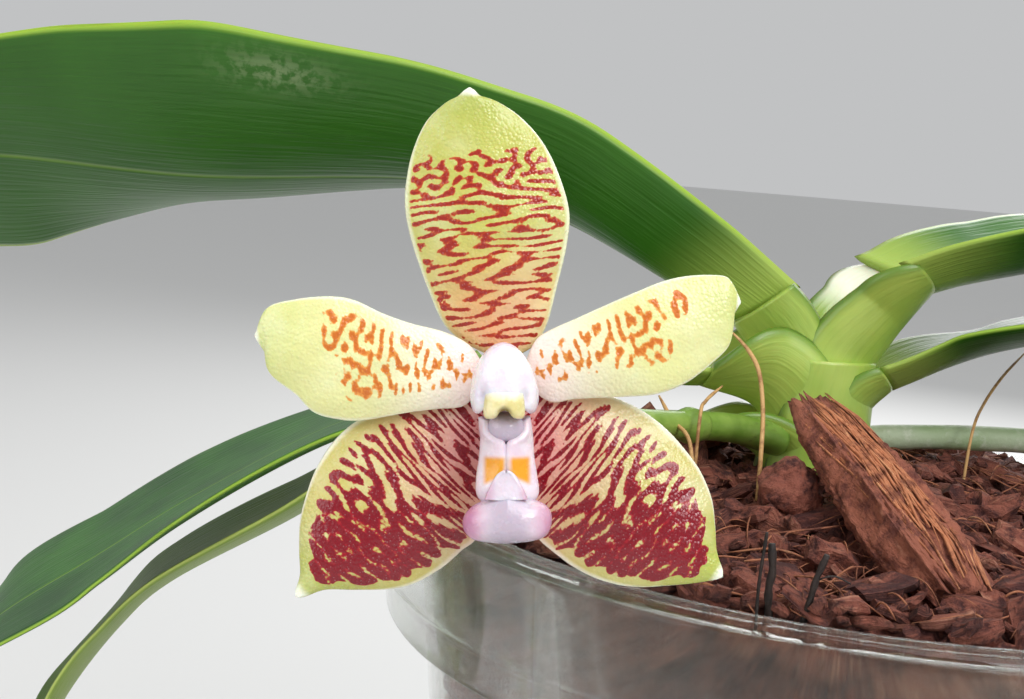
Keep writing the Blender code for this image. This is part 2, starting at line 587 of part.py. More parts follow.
def tepal(name, left, right, crown, material, rows=14, across=7):
    """Flower leaf between two edge lines, crowned toward the viewer across its width."""
    first, second = through(left, rows), through(right, rows)
    w = np.linspace(0, 1, across)[None, :, None]
    share = np.linspace(0, 1, rows)
    grid = first[:, None] * (1 - w) + second[:, None] * w
    swell = crown * np.sin(math.pi * np.clip(share * 0.95 + 0.05, 0, 1)) ** 0.8
    grid[..., 2] += swell[:, None] * (1 - (2 * w[..., 0] - 1) ** 2)
    edge = np.abs(2 * w[..., 0] - 1) ** 3
    return settle(slab(name, grid, TEPAL_THICKNESS * (1 - 0.35 * edge), material))


yellow_green = finish("sepal_yellow", (0.62, 0.62, 0.24), 0.34)
pale_cream = finish("petal_cream", (0.80, 0.79, 0.52), 0.34)
crimson = finish("sepal_crimson", (0.46, 0.10, 0.11), 0.30)

tepal("sepal_dorsal",
      [(-1.5, 1.9, -3.4), (-4.6, 3.4, -3.2), (-6.6, 5.4, -3.0), (-8.4, 9.6, -2.4), (-9.9, 14.2, -1.6),
       (-10.5, 17.8, -1.1), (-10.2, 21.0, -0.8), (-9.5, 23.7, -0.7), (-8.2, 26.4, -0.6),
       (-6.4, 28.1, -0.4), (-4.9, 28.9, -0.2), (-3.9, 29.8, 0)],
      [(1.5, 1.9, -3.4), (3.4, 3.0, -3.2), (4.7, 5.2, -3.0), (5.7, 9.0, -2.4), (6.7, 13.2, -1.7),
       (7.0, 16.9, -1.2), (5.9, 20.8, -0.9), (4.3, 24.1, -0.7), (2.0, 26.7, -0.5),
       (-0.2, 28.2, -0.3), (-2.3, 28.9, -0.2), (-3.2, 29.8, 0)],
      1.3, yellow_green)
tepal("petal_left",
      [(-2.7, 1.3, -2.0), (-3.9, 3.0, -1.6), (-6.5, 4.3, -1.2), (-9.7, 5.1, -0.9), (-12.8, 6.2, -0.7),
       (-15.8, 7.6, -0.6), (-18.4, 8.0, -0.6), (-22.0, 7.7, -0.8), (-25.0, 6.8, -1.1),
       (-26.1, 4.2, -1.3)],
      [(-2.7, -1.4, -2.0), (-4.2, -3.6, -1.7), (-7.4, -4.0, -1.5), (-10.4, -4.4, -1.3),
       (-15.0, -5.2, -1.2), (-18.0, -5.0, -1.2), (-20.2, -4.3, -1.2), (-22.0, -2.5, -1.2),
       (-24.6, -0.4, -1.2), (-24.9, 1.5, -1.2), (-26.1, 3.4, -1.3)],
      1.0, pale_cream)
tepal("petal_right",
      [(2.7, -1.4, -2.0), (5.0, -3.2, -1.7), (7.8, -2.9, -1.5), (12.3, -2.7, -1.3),
       (16.1, -2.4, -1.2), (19.2, -1.3, -1.2), (21.9, 0.7, -1.2), (23.9, 2.8, -1.2),
       (24.1, 5.6, -1.2), (24.8, 7.0, -1.3)],
      [(2.7, 1.3, -2.0), (3.4, 3.2, -1.6), (4.5, 4.2, -1.4), (7.8, 5.7, -1.0), (10.9, 7.1, -0.8),
       (13.9, 8.4, -0.6), (16.9, 9.6, -0.6), (19.9, 10.2, -0.8), (23.0, 10.2, -1.0),
       (24.0, 9.6, -1.1), (24.9, 7.8, -1.3)],
      1.0, pale_cream)
tepal("sepal_left",
      [(-2.4, -2.4, -3.9), (-7.0, -2.8, -4.0), (-12.0, -3.6, -3.8), (-15.4, -5.1, -3.5),
       (-17.2, -6.4, -3.1), (-18.8, -8.2, -2.8), (-20.2, -10.6, -2.5), (-21.1, -13.2, -2.2),
       (-21.7, -16.0, -2.0), (-21.7, -19.0, -1.8), (-21.5, -21.6, -1.6), (-22.1, -23.5, -1.4)],
      [(-0.9, -3.6, -3.9), (-1.5, -8.0, -3.4), (-2.0, -13.0, -2.9), (-2.8, -17.6, -2.5),
       (-4.5, -19.2, -2.3), (-6.6, -21.0, -2.2), (-9.4, -22.6, -2.1), (-12.1, -23.2, -2.0),
       (-15.6, -23.2, -1.9), (-19.0, -23.1, -1.7), (-21.7, -24.0, -1.4)],
      1.9, crimson)
tepal("sepal_right",
      [(0.9, -3.6, -3.9), (1.6, -8.0, -3.4), (2.3, -13.4, -2.9), (3.2, -17.2, -2.5),
       (5.9, -19.8, -2.3), (8.7, -21.6, -2.2), (11.4, -22.6, -2.1), (14.2, -23.0, -2.0),
       (17.0, -22.8, -1.9), (19.8, -22.5, -1.7), (22.9, -21.9, -1.4)],
      [(2.4, -2.4, -3.9), (6.5, -2.2, -4.0), (11.0, -2.6, -3.8), (13.6, -3.5, -3.5),
       (15.8, -4.8, -3.2), (17.8, -6.5, -2.9), (19.8, -8.8, -2.6), (21.2, -10.9, -2.4),
       (22.2, -13.5, -2.2), (22.5, -16.2, -2.0), (22.6, -19.0, -1.8), (23.3, -21.4, -1.4)],
      1.9, crimson)

waxy_white = finish("column_white", (0.84, 0.78, 0.82), 0.35)
lip_mauve = finish("lip_mauve", (0.76, 0.62, 0.70), 0.35)
cap_yellow = finish("cap_yellow", (0.85, 0.78, 0.52), 0.40)
CAP_CENTRE = (0.1, -3.3, 7.5)
CAP_RADII = np.array([1.85, 1.5, 1.6])


def beaked(ball):
    """Egg drawn out to a small downward beak at its front."""
    ball = ball.copy()
    front = np.clip(ball[:, 2], 0, 1) * np.clip(-ball[:, 1] + 0.3, 0, 1)
    ball[:, 1] -= 0.22 * front
    ball[:, 0] *= 1 - 0.35 * front
    return ball


column = rod("column", [(0, 0, -0.9), (0, 0.05, 1.2), (0.05, -0.2, 3.6), (0.1, -0.5, 6.0),
                        (0.1, -0.5, 7.6), (0.1, -0.4, 8.6)],
             [2.6, 3.0, 3.45, 3.25, 2.5, 1.2], 20, waxy_white)
wings = [lump("wing", (-2.75, -2.4, 5.4), (0.85, 1.8, 1.8), 6, 10),
         lump("wing", (2.95, -2.4, 5.4), (0.85, 1.8, 1.8), 6, 10)]
combine(column, wings, "UNION", "MANIFOLD")
socket = lump("socket", CAP_CENTRE, CAP_RADII + 0.32, 8, 12, shape=beaked)
combine(column, [socket], "DIFFERENCE", "MANIFOLD")
settle(column)
settle(lump("anther_cap", CAP_CENTRE, CAP_RADII, 8, 12, cap_yellow, shape=beaked))
settle(lump("lip_callus", (0.15, -5.7, 4.5), (1.7, 1.05, 1.4), 8, 14, lip_mauve))


def lobe(side):
    """Erect side lobe of the lip: a curved blade from the spine round to its front edge."""
    back = through([(0.7, -4.7, 2.0), (0.7, -8, 2.4), (0.8, -11, 3.0), (1.0, -13.6, 3.6)], 8)
    outer = through([(2.5, -4.6, 3.6), (2.65, -7.2, 4.2), (2.75, -10.3, 4.6), (3.2, -13.5, 5.0)], 8)
    front = through([(2.2, -5.0, 5.6), (1.5, -6.3, 6.5), (0.5, -7.2, 7.0), (0.22, -8.4, 7.1),
                     (0.5, -10.0, 7.1), (1.3, -11.6, 7.0), (2.1, -12.9, 6.6)], 8)
    w = np.linspace(0, 1, 6)[None, :, None]
    grid = (back[:, None] * (1 - w) ** 2 + (2 * outer - (back + front) / 2)[:, None] * 2 * w * (1 - w)
            + front[:, None] * w ** 2)
    grid[..., 0] = grid[..., 0] * side + 0.25
    return slab("lobe", grid, 0.95)


def keeled(ball):
    """Lip pad: crowned above, keeled below, drawn in toward both ends."""
    ball = ball.copy()
    ball[:, 1] -= 0.35 * ball[:, 0] ** 2 * np.clip(ball[:, 1] + 0.4, 0, 1)
    ball[:, 1] += 0.25 * ball[:, 0] ** 2 * np.clip(-ball[:, 1], 0, 1)
    ball[:, 2] += 0.2 * (1 - ball[:, 0] ** 2)
    return ball


lip = rod("lip", [(0.25, -3.8, 1.2), (0.25, -7, 1.8), (0.25, -10.5, 2.6), (0.25, -13.8, 3.8)],
          [1.0, 1.3, 1.4, 1.3], 12, lip_mauve)
pad = lump("pad", (0.4, -14.9, 5.4), (4.5, 2.7, 3.4), 8, 16, shape=keeled)
combine(lip, [lobe(-1), lobe(1), pad], "UNION", "MANIFOLD")
settle(lip)


# Flowering stalk. Green spike from the side of the stem to the back of the flower, with three
# bracts and a blind tip; the flower hangs on its own short stalk, which swells into the ovary.

stalk_green = finish("spike_green", (0.30, 0.42, 0.14), 0.45)
SPIKE = [(-13.4, -3.2, 134.4), (-22, -10, 136.8), (-33.6, -22.6, 138.6), (-44, -36, 141),
         (-51, -45.5, 143.6), (-56.5, -49, 146.5), (-59.5, -50, 150)]
spike_path = through(SPIKE, 16)
spike = rod("flower_spike", spike_path, np.interp(np.arange(16), [0, 2, 10, 14, 15],
                                                  [2.5, 2.2, 1.8, 1.3, 0.5]), 10, stalk_green,
            wide=(0, 0, 1))
bracts = []
for at, length in ((4, 8.0), (9, 6.5), (12, 5.0)):
    start = spike_path[at]
    ahead = unit(spike_path[at + 1] - spike_path[at])
    bracts.append(rod("bract", [start, start + ahead * length * 0.4, start + ahead * length * 0.8,
                                start + ahead * length + (0, 0, 0.9)],
                      [2.25, 2.7, 1.9, 0.5], 8, wide=(0, 0, 1)))
combine(spike, bracts, "UNION", "MANIFOLD")
seat_on_stem(spike)
stalk_path = through([placed((0, -0.8, -1.3)), placed((0, -0.8, -5.0)), placed((0.6, -1.4, -9.5)),
                      placed((2.0, -2.6, -14.0)), (-51.4, -49.2, 146.6)], 12)
rod("flower_stalk", stalk_path, np.interp(np.arange(12), [0, 2, 4, 9, 11], [2.3, 2.3, 1.7, 1.2, 1.4]),
    10, stalk_green, wide=(0, 0, 1))
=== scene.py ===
"""Potted moth orchid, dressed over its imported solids.

A clear nursery pot of shredded bark carries a short stem with five strap leaves, silvery
roots and one waxy flower. Sizes are in millimetres until a mesh is made. The flower faces
-Y, and the pot stands on the floor at the origin.
"""

import math

import bpy
import numpy as np
from mathutils import Matrix


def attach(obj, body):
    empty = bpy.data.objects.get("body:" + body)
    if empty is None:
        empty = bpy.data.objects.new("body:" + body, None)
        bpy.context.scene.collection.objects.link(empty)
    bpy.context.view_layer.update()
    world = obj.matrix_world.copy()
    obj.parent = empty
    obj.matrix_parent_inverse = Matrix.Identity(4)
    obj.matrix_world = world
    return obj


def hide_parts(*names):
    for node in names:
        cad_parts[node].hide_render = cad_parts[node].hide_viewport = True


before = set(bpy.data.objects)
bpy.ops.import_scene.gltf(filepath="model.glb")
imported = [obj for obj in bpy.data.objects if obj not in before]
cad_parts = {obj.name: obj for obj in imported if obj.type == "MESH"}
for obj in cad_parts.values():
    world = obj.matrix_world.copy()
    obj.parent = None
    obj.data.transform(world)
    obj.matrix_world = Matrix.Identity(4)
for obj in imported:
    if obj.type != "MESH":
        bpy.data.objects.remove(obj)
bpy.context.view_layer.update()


# Pot. A thin clear nursery pot, pressed from soft plastic in one piece: a tapering body, and a
# flat lip that turns down into a wide skirt with one ridge. Eight drainage holes pierce its base.

MM = 0.001
POT_HEIGHT = 125.0
POT_RIM_RADIUS = 72.0
POT_BODY_RADIUS = 67.5
POT_BASE_RADIUS = 53.0
POT_WALL = 1.5
SKIRT_FOOT = POT_HEIGHT - 19.5
POT_SIDES = 144
DRAINS = 8
DRAIN_RING = 38
DRAIN_RADIUS = 4


def tint(red, green, blue):
    """A colour given on the 0 to 255 scale, as the shader's own linear numbers."""
    share = np.array([red, green, blue]) / 255
    return tuple(np.where(share > 0.04045, ((share + 0.055) / 1.055) ** 2.4, share / 12.92)) + (1.0,)


def feed(tree, socket, value):
    """Give a socket a plain value, or join another node's output to it."""
    if isinstance(value, bpy.types.NodeSocket):
        tree.links.new(value, socket)
    else:
        socket.default_value = value


def put(tree, kind, choices=None, **sockets):
    """Add one node. Choices are its own options; sockets are its inputs by name."""
    made = tree.nodes.new("ShaderNode" + kind)
    for key, value in (choices or {}).items():
        setattr(made, key, value)
    for key, value in sockets.items():
        feed(tree, made.inputs[key.replace("_", " ")], value)
    return made


def reckon(tree, operation, *terms, clamp=False):
    """One sum on the surface: the output of a Math node."""
    made = tree.nodes.new("ShaderNodeMath")
    made.operation = operation
    made.use_clamp = clamp
    for socket, value in zip(made.inputs, terms):
        feed(tree, socket, value)
    return made.outputs[0]


def tinted(tree, share, under, over, way="MIX"):
    """Two colours mixed by a share between 0 and 1."""
    made = tree.nodes.new("ShaderNodeMix")
    made.data_type = "RGBA"
    made.blend_type = way
    feed(tree, made.inputs[0], share)
    feed(tree, made.inputs[6], under)
    feed(tree, made.inputs[7], over)
    return made.outputs[2]


def washed(tree, colour, share, strength, over):
    """Colour with another laid over it, as strongly as a share times a strength."""
    return tinted(tree, reckon(tree, "MULTIPLY", share, strength), colour, over)


def grain(tree, vector, scale, detail=3.0, roughness=0.55):
    """Cloudy noise from 0 to 1 at a number of features a metre or a unit."""
    made = put(tree, "TexNoise", Vector=vector, Scale=scale, Detail=detail, Roughness=roughness)
    return made.outputs["Fac"]


def stepped(tree, value, low, high):
    """Value carried from 0 at low to 1 at high with soft ends."""
    soft = {"interpolation_type": "SMOOTHSTEP"}
    return put(tree, "MapRange", soft, Value=value, From_Min=low, From_Max=high).outputs["Result"]


def place(tree):
    """Where a point stands on the object."""
    return put(tree, "TexCoord").outputs["Object"]


def surface_finish(name, roughness, **settings):
    """A new material, with plain numbers set on its shader."""
    made = bpy.data.materials.new(name)
    made.use_nodes = True
    shader = made.node_tree.nodes["Principled BSDF"]
    shader.inputs["Roughness"].default_value = roughness
    for key, value in settings.items():
        shader.inputs[key.replace("_", " ")].default_value = value
    return made, made.node_tree, shader


def bumped(tree, shader, height, distance, strength=1.0):
    """Let a height in 0 to 1 raise the surface by up to a distance in metres."""
    made = put(tree, "Bump", Height=height, Distance=distance, Strength=strength)
    tree.links.new(made.outputs["Normal"], shader.inputs["Normal"])


def grid_faces(rows, cols, around=False):
    """Four-cornered faces of a grid of points, whose last column may join its first."""
    i, j = np.meshgrid(np.arange(rows - 1), np.arange(cols if around else cols - 1), indexing="ij")
    a, b = i * cols + j, i * cols + (j + 1) % cols
    return np.stack([a, b, b + cols, a + cols], -1).reshape(-1, 4)


def tubes(rings, first=None, last=None):
    """Closed skins over sets of rings: faces between the rings and a fan over each end."""
    rings = np.asarray(rings, float)
    rings = rings[None] if rings.ndim == 3 else rings
    many, count, sides = rings.shape[:3]
    first = rings[:, 0].mean(1) if first is None else np.reshape(first, (many, 3))
    last = rings[:, -1].mean(1) if last is None else np.reshape(last, (many, 3))
    points = np.concatenate([rings.reshape(many, -1, 3), first[:, None], last[:, None]], 1)
    j, ahead, tail = np.arange(sides), (np.arange(sides) + 1) % sides, (count - 1) * sides
    fans = np.vstack([np.stack([np.full(sides, count * sides), ahead, j], 1),
                      np.stack([np.full(sides, count * sides + 1), tail + j, tail + ahead], 1)])
    step = (np.arange(many) * points.shape[1])[:, None, None]
    quads = grid_faces(count, sides, True)
    return points.reshape(-1, 3), [(quads + step).reshape(-1, 4), (fans + step).reshape(-1, 3)]


def ring_values(values, sides):
    """One value a ring, given to every point of the ring and to the two end points."""
    values = np.atleast_2d(values)
    return np.concatenate([np.repeat(values, sides, axis=1), values[:, :1], values[:, -1:]], 1).ravel()


def joined(*skins):
    """Several skins as one list of points and one list of faces."""
    points, faces, start = [], [], 0
    for more_points, more_faces in skins:
        points.append(more_points)
        faces += [f + start for f in more_faces]
        start += len(more_points)
    return np.vstack(points), faces


def outward(points, faces):
    """Turn all faces of a closed skin round when the volume inside them counts as negative."""
    fans = np.concatenate([f[:, [0, k, k + 1]] for f in faces for k in range(1, f.shape[1] - 1)])
    a, b, c = points[fans[:, 0]], points[fans[:, 1]], points[fans[:, 2]]
    return faces if np.einsum("ij,ij->", a, np.cross(b, c)) > 0 else [f[:, ::-1] for f in faces]


def make_piece(name, skin, material, node=None, slot=None, smooth=True, **values):
    """One piece from points in millimetres, riding on the plant, with its values at each point."""
    points, faces = skin
    corners = np.concatenate([f.ravel() for f in faces])
    sizes = np.concatenate([np.full(len(f), f.shape[1]) for f in faces])
    mesh = bpy.data.meshes.new(name)
    mesh.vertices.add(len(points))
    mesh.vertices.foreach_set("co", (points * MM).astype(np.float32).ravel())
    mesh.loops.add(len(corners))
    mesh.loops.foreach_set("vertex_index", corners.astype(np.int32))
    mesh.polygons.add(len(sizes))
    mesh.polygons.foreach_set("loop_start", (np.cumsum(sizes) - sizes).astype(np.int32))
    mesh.update(calc_edges=True)
    mesh.polygons.foreach_set("use_smooth", np.full(len(sizes), smooth))
    for key, value in values.items():
        layer = mesh.attributes.new(key, "FLOAT", "POINT")
        layer.data.foreach_set("value", np.broadcast_to(value, len(points)).astype(np.float32))
    mesh.materials.append(material)
    made = bpy.data.objects.new(name, mesh)
    bpy.context.scene.collection.objects.link(made)
    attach(made, "root")
    if node:
        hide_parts(node)
    return made


def softened(line, reach=0.45, rounds=2):
    """Line with its corners cut: each corner gives way to two points a short way along its sides."""
    line = np.asarray(line, float)
    for _ in range(rounds):
        long = np.linalg.norm(np.diff(line, axis=0), axis=1)[:, None]
        near = np.minimum(0.3, reach / np.maximum(long, 1e-6))
        step = np.diff(line, axis=0) * near
        cut = np.stack([line[:-1] + step, line[1:] - step], 1)
        line = np.vstack([line[:1], cut.reshape(-1, line.shape[1])[1:-1], line[-1:]])
        reach /= 2
    return line


inner_base = POT_BASE_RADIUS - POT_WALL
inner_top = POT_BODY_RADIUS - POT_WALL
rim = POT_RIM_RADIUS
pot_line = softened([
    (0, 0), (POT_BASE_RADIUS - 1.2, 0), (POT_BASE_RADIUS, 1.2), (POT_BODY_RADIUS, POT_HEIGHT - 2.2),
    (POT_BODY_RADIUS + 0.5, POT_HEIGHT - 1.7), (rim - 2.1, POT_HEIGHT - 1.7), (rim - 1.6, POT_HEIGHT - 2.3),
    (rim - 1.7, SKIRT_FOOT + 0.6), (rim - 1.2, SKIRT_FOOT), (rim - 0.5, SKIRT_FOOT + 0.4),
    (rim - 0.3, SKIRT_FOOT + 5.2), (rim + 0.2, SKIRT_FOOT + 5.8), (rim - 0.2, SKIRT_FOOT + 6.6),
    (rim, POT_HEIGHT - 2.2), (rim - 0.4, POT_HEIGHT - 0.5), (rim - 1.2, POT_HEIGHT),
    (rim - 2.0, POT_HEIGHT - 0.3), (inner_top + 1.2, POT_HEIGHT - 0.7), (inner_top + 0.5, POT_HEIGHT - 0.4),
    (inner_top, POT_HEIGHT - 1.0), (inner_base, 2.4), (inner_base - 1.0, POT_WALL), (0, POT_WALL)])
turn = np.linspace(0, 2 * math.pi, POT_SIDES, endpoint=False)
pot_rings = np.stack([np.outer(pot_line[1:-1, 0], np.cos(turn)), np.outer(pot_line[1:-1, 0], np.sin(turn)),
                      np.repeat(pot_line[1:-1, 1:], POT_SIDES, axis=1)], -1)

clear_plastic, tree, shader = surface_finish("clear_plastic", 0.05, Transmission_Weight=1.0, IOR=1.42,
                                             Alpha=0.5)
haze = grain(tree, place(tree), 90, 5)
algae = stepped(tree, grain(tree, place(tree), 28, 4), 0.5, 0.72)
feed(tree, shader.inputs["Base Color"], washed(tree, tint(238, 246, 238), algae, 0.35, tint(196, 214, 168)))
feed(tree, shader.inputs["Roughness"], reckon(tree, "MULTIPLY_ADD", haze, 0.07, 0.0))
pot_skin = tubes(pot_rings, (0, 0, 0), (0, 0, POT_WALL))
pot = make_piece("pot_clear", pot_skin, clear_plastic, "pot", "clear_plastic")

drains = []
for k in range(DRAINS):
    way = (k + 0.5) * 2 * math.pi / DRAINS
    middle = np.array([DRAIN_RING * math.cos(way), DRAIN_RING * math.sin(way), 0])
    disc = np.stack([np.cos(turn[::4]), np.sin(turn[::4]), 0 * turn[::4]], 1) * DRAIN_RADIUS + middle
    drains.append(np.stack([disc - (0, 0, 1), disc + (0, 0, 3)]))
drain_points, drain_faces = tubes(np.stack(drains))
cutter = bpy.data.objects.new("drains", bpy.data.meshes.new("drains"))
cutter.data.from_pydata((drain_points * MM).tolist(), [], [f for part in drain_faces for f in part.tolist()])
bpy.context.scene.collection.objects.link(cutter)
cut = pot.modifiers.new("drains", "BOOLEAN")
cut.operation = "DIFFERENCE"
cut.solver = "EXACT"
cut.object = cutter
bpy.context.view_layer.update()
cut_mesh = bpy.data.meshes.new_from_object(pot.evaluated_get(bpy.context.evaluated_depsgraph_get()))
pot.modifiers.clear()
pot.data = cut_mesh
bpy.data.objects.remove(cutter, do_unlink=True)


# Bark. Shredded pine bark and husk, poured in loose: dark crumbs below, torn reddish chips on top
# and pressed flat against the wall of the pot, and stringy fibres lying over them.

BARK_EDGE_HEIGHT = 123.5
BARK_MOUND = 7.0
BARK_MEAN_RADIUS = 60
CHIP_REACH = 65.2
FIBRE_REACH = 64.4
SIDE_SPOTS, SIDE_ROWS = 248, 96
SIDE_CELLS, TOP_CELLS = 720, 620
TOP_RINGS = np.linspace(0.985, 0.012, 84)[:, None]
FIBRES = 900


def unit(vectors):
    """Vectors scaled to length one."""
    return vectors / np.maximum(np.linalg.norm(vectors, axis=-1, keepdims=True), 1e-9)


def bark_top(x, y):
    """Height of the bark: a broad mound at the stem, two low bumps and a shallow ripple."""
    mound = BARK_MOUND * np.exp(-((x + 3) ** 2 + (y - 4) ** 2) / 34 ** 2)
    right = 3.0 * np.exp(-((x - 27) ** 2 + (y + 4) ** 2) / 15 ** 2)
    seat = 2.6 * np.exp(-((x + 4) ** 2 + (y + 31) ** 2) / 12 ** 2)
    return BARK_EDGE_HEIGHT + mound + right + seat + 0.7 * np.sin(0.35 * x + 1) * np.cos(0.31 * y)


def pot_inside(z):
    """Inner radius of the pot's body at height z."""
    return inner_base + (inner_top - inner_base) * (z - 2.4) / (POT_HEIGHT - 3.4)


def ripples(points, pitch, seed, count=28):
    """Uneven waves from about -1 to 1: the sum of cosines of random headings and like pitch."""
    random = np.random.default_rng(seed)
    heading = unit(random.normal(size=(count, points.shape[-1])))
    heading = heading * 2 * math.pi / (pitch * random.uniform(0.7, 1.5, (count, 1)))
    phase = random.uniform(0, 2 * math.pi, count)
    return np.cos(points @ heading.T + phase).sum(-1) / math.sqrt(count)


def through(points, count):
    """Smooth curve through the given points, taken at even lengths along it."""
    knots = np.asarray(points, float)
    padded = np.vstack([2 * knots[0] - knots[1], knots, 2 * knots[-1] - knots[-2]])
    a, b, c, d = padded[:-3, None], padded[1:-2, None], padded[2:-1, None], padded[3:, None]
    t = np.linspace(0, 1, 24, endpoint=False)[:, None]
    fine = 0.5 * (2 * b + (c - a) * t + (2 * a - 5 * b + 4 * c - d) * t ** 2
                  + (3 * b - a - 3 * c + d) * t ** 3)
    fine = np.vstack([fine.reshape(-1, knots.shape[1]), knots[-1:]])
    length = np.concatenate([[0], np.cumsum(np.linalg.norm(np.diff(fine[:, :3], axis=0), axis=1))])
    wanted = np.linspace(0, length[-1], count)
    return np.stack([np.interp(wanted, length, fine[:, k]) for k in range(fine.shape[1])], 1)


def chipped(spots, middles, stretch):
    """Cells round scattered middles: how far each spot lies inside its cell, and the cell's number."""
    reach = np.linalg.norm((spots[:, None] - middles[None]) * stretch, axis=-1)
    order = np.argsort(reach, axis=1)[:, :2]
    near = np.take_along_axis(reach, order, 1)
    return near[:, 1] - near[:, 0], order[:, 0]


def round_rings(path, radii, sides, wide=(0.0, 0.0, 1.0), squash=1.0):
    """Rings round a path: path + radius * (cos t * across + squash * sin t * upward)."""
    path = np.asarray(path, float)
    along = unit(np.gradient(path, axis=-2))
    across = unit(np.asarray(wide) - along * (along * np.asarray(wide)).sum(-1, keepdims=True))
    upward = np.cross(along, across)
    t = np.linspace(0, 2 * math.pi, sides, endpoint=False)[:, None]
    ring = across[..., None, :] * np.cos(t) + upward[..., None, :] * np.sin(t) * squash
    return path[..., None, :] + ring * np.asarray(radii)[..., None, None]


def ball(rings=40, sides=48):
    """Points of a sphere of radius one in rings, for shaping into a lump."""
    polar = np.linspace(0, math.pi, rings + 2)[1:-1, None]
    t = np.linspace(0, 2 * math.pi, sides, endpoint=False)
    return np.stack([np.sin(polar) * np.cos(t), np.sin(polar) * np.sin(t), np.cos(polar) + 0 * t], -1)


def lump(centre, radii, shape=None, rings=40, sides=48):
    """Closed egg-like skin: radii * shape(sphere) + centre."""
    points = ball(rings, sides)
    ends = np.array([[[0, 0, 1.0]], [[0, 0, -1.0]]])
    points, ends = (shape(points), shape(ends)) if shape else (points, ends)
    skin = tubes(points * radii + centre, ends[0, 0] * radii + centre, ends[1, 0] * radii + centre)
    return skin[0], outward(*skin)


random = np.random.default_rng(5)
side_height = np.concatenate([np.linspace(1.9, 2.6, 3), np.linspace(4, 123.0, SIDE_ROWS - 3)])
side_turn = np.linspace(0, 2 * math.pi, SIDE_SPOTS, endpoint=False)
height, way = np.meshgrid(side_height, side_turn, indexing="ij")
spots = np.stack([way.ravel() * BARK_MEAN_RADIUS, height.ravel()], 1)
middles = random.uniform((-6, 0), (2 * math.pi * BARK_MEAN_RADIUS + 6, 126), (SIDE_CELLS, 2))
inside, cell = chipped(spots, middles, np.array([0.75, 1.25]))
side_tone = random.uniform(0, 1, SIDE_CELLS)[cell]
sunk = 2.3 * (1 - np.clip(inside / 2.2, 0, 1)) ** 1.5 + 1.5 * random.uniform(0, 1, SIDE_CELLS)[cell] ** 2
sunk += 0.25 * (1 + ripples(spots, 3.0, 3))
reach = (pot_inside(np.maximum(height, 2.4)) - 0.35) - np.clip(sunk, 0, 5).reshape(height.shape)
reach[:3] = [[pot_inside(2.4) - 4], [pot_inside(2.4) - 2], [pot_inside(2.4) - 1]] + reach[:3] * 0
core = [np.stack([reach * np.cos(way), reach * np.sin(way), height], -1)]
x, y = TOP_RINGS * reach[-1] * np.cos(side_turn), TOP_RINGS * reach[-1] * np.sin(side_turn)
flat = np.stack([x.ravel(), y.ravel()], 1)
middles = random.uniform(-66, 66, (TOP_CELLS, 2))
inside, cell = chipped(flat, middles, np.array([1.0, 1.0]))
top_tone = random.uniform(0, 1, TOP_CELLS)[cell]
crumb = 1.3 * np.clip(inside / 1.8, 0, 1) ** 0.6 + 1.6 * random.uniform(0, 1, TOP_CELLS)[cell] - 1.8
crumb = crumb + 0.5 * ripples(flat, 2.2, 8) + 0.3 * ripples(flat, 1.0, 9)
top = bark_top(x, y) + crumb.reshape(x.shape) - 1.6 * np.clip(TOP_RINGS * 66 - 62, 0, 1)
hollow = np.exp(-((x + 6.9) ** 2 + (y - 3.8) ** 2) / 9.5 ** 2)
core.append(np.stack([x, y, np.minimum(top, POT_HEIGHT + 6) - 3 * hollow], -1))
core = tubes(np.concatenate(core), (0, 0, 1.8), (0, 0, bark_top(0.0, 0.0) - 2))
core_tone = np.concatenate([side_tone, top_tone, [0.5, 0.5]])


def bark_chips(count, low, high, reach, seed, rise):
    """Torn chips: five rings of six uneven corners each, bent along their length, turned and
    leant at random and sunk into the top of the bark."""
    random = np.random.default_rng(seed)
    share = np.linspace(-1, 1, 5)
    size = random.uniform(low, high, (count, 3))
    t = np.linspace(0, 2 * math.pi, 6, endpoint=False) + random.uniform(0, 1, (count, 1, 1))
    taper = np.array([0.72, 1.0, 1.05, 0.95, 0.66])[:, None] * random.uniform(0.6, 1.2, (count, 5, 6))
    bend = random.uniform(-0.5, 0.5, (count, 1, 1)) * share[:, None] ** 2
    x = share[:, None] * size[:, :1, None] * random.uniform(0.86, 1.1, (count, 5, 6))
    y, z = np.cos(t) * taper * size[:, 1:2, None], (np.sin(t) * taper + bend) * size[:, 2:, None]
    yaw, lean, roll = random.uniform((-3.14, -0.55, -0.6), (3.14, 0.55, 0.6), (count, 3)).T[:, :, None, None]
    y, z = np.cos(roll) * y - np.sin(roll) * z, np.sin(roll) * y + np.cos(roll) * z
    x, z = np.cos(lean) * x + np.sin(lean) * z, -np.sin(lean) * x + np.cos(lean) * z
    x, y = np.cos(yaw) * x - np.sin(yaw) * y, np.sin(yaw) * x + np.cos(yaw) * y
    out = reach * np.sqrt(random.uniform(0, 1, count))
    spin = random.uniform(0, 2 * math.pi, count)
    cx, cy = out * np.cos(spin), out * np.sin(spin)
    open_ground = (np.hypot(cx + 7, cy - 4) > 13.5) & (np.hypot((cx + 4) * 1.1, cy + 31) > 10)
    cz = bark_top(cx, cy) + size[:, 2] * random.uniform(*rise, count)
    rings = np.stack([x + cx[:, None, None], y + cy[:, None, None], z + cz[:, None, None]], -1)[open_ground]
    slide = np.maximum(np.hypot(rings[..., 0], rings[..., 1]) / CHIP_REACH, 1)[..., None]
    rings[..., :2] /= slide
    many = len(rings)
    run = ring_values(np.broadcast_to(share, (many, 5)) * size[open_ground, :1], 6)
    turns = np.concatenate([np.tile(np.arange(30) % 6, (many, 1)), np.zeros((many, 2))], 1).ravel()
    tone = np.repeat(random.uniform(0, 1, many), 32)
    return tubes(rings), run, turns, tone


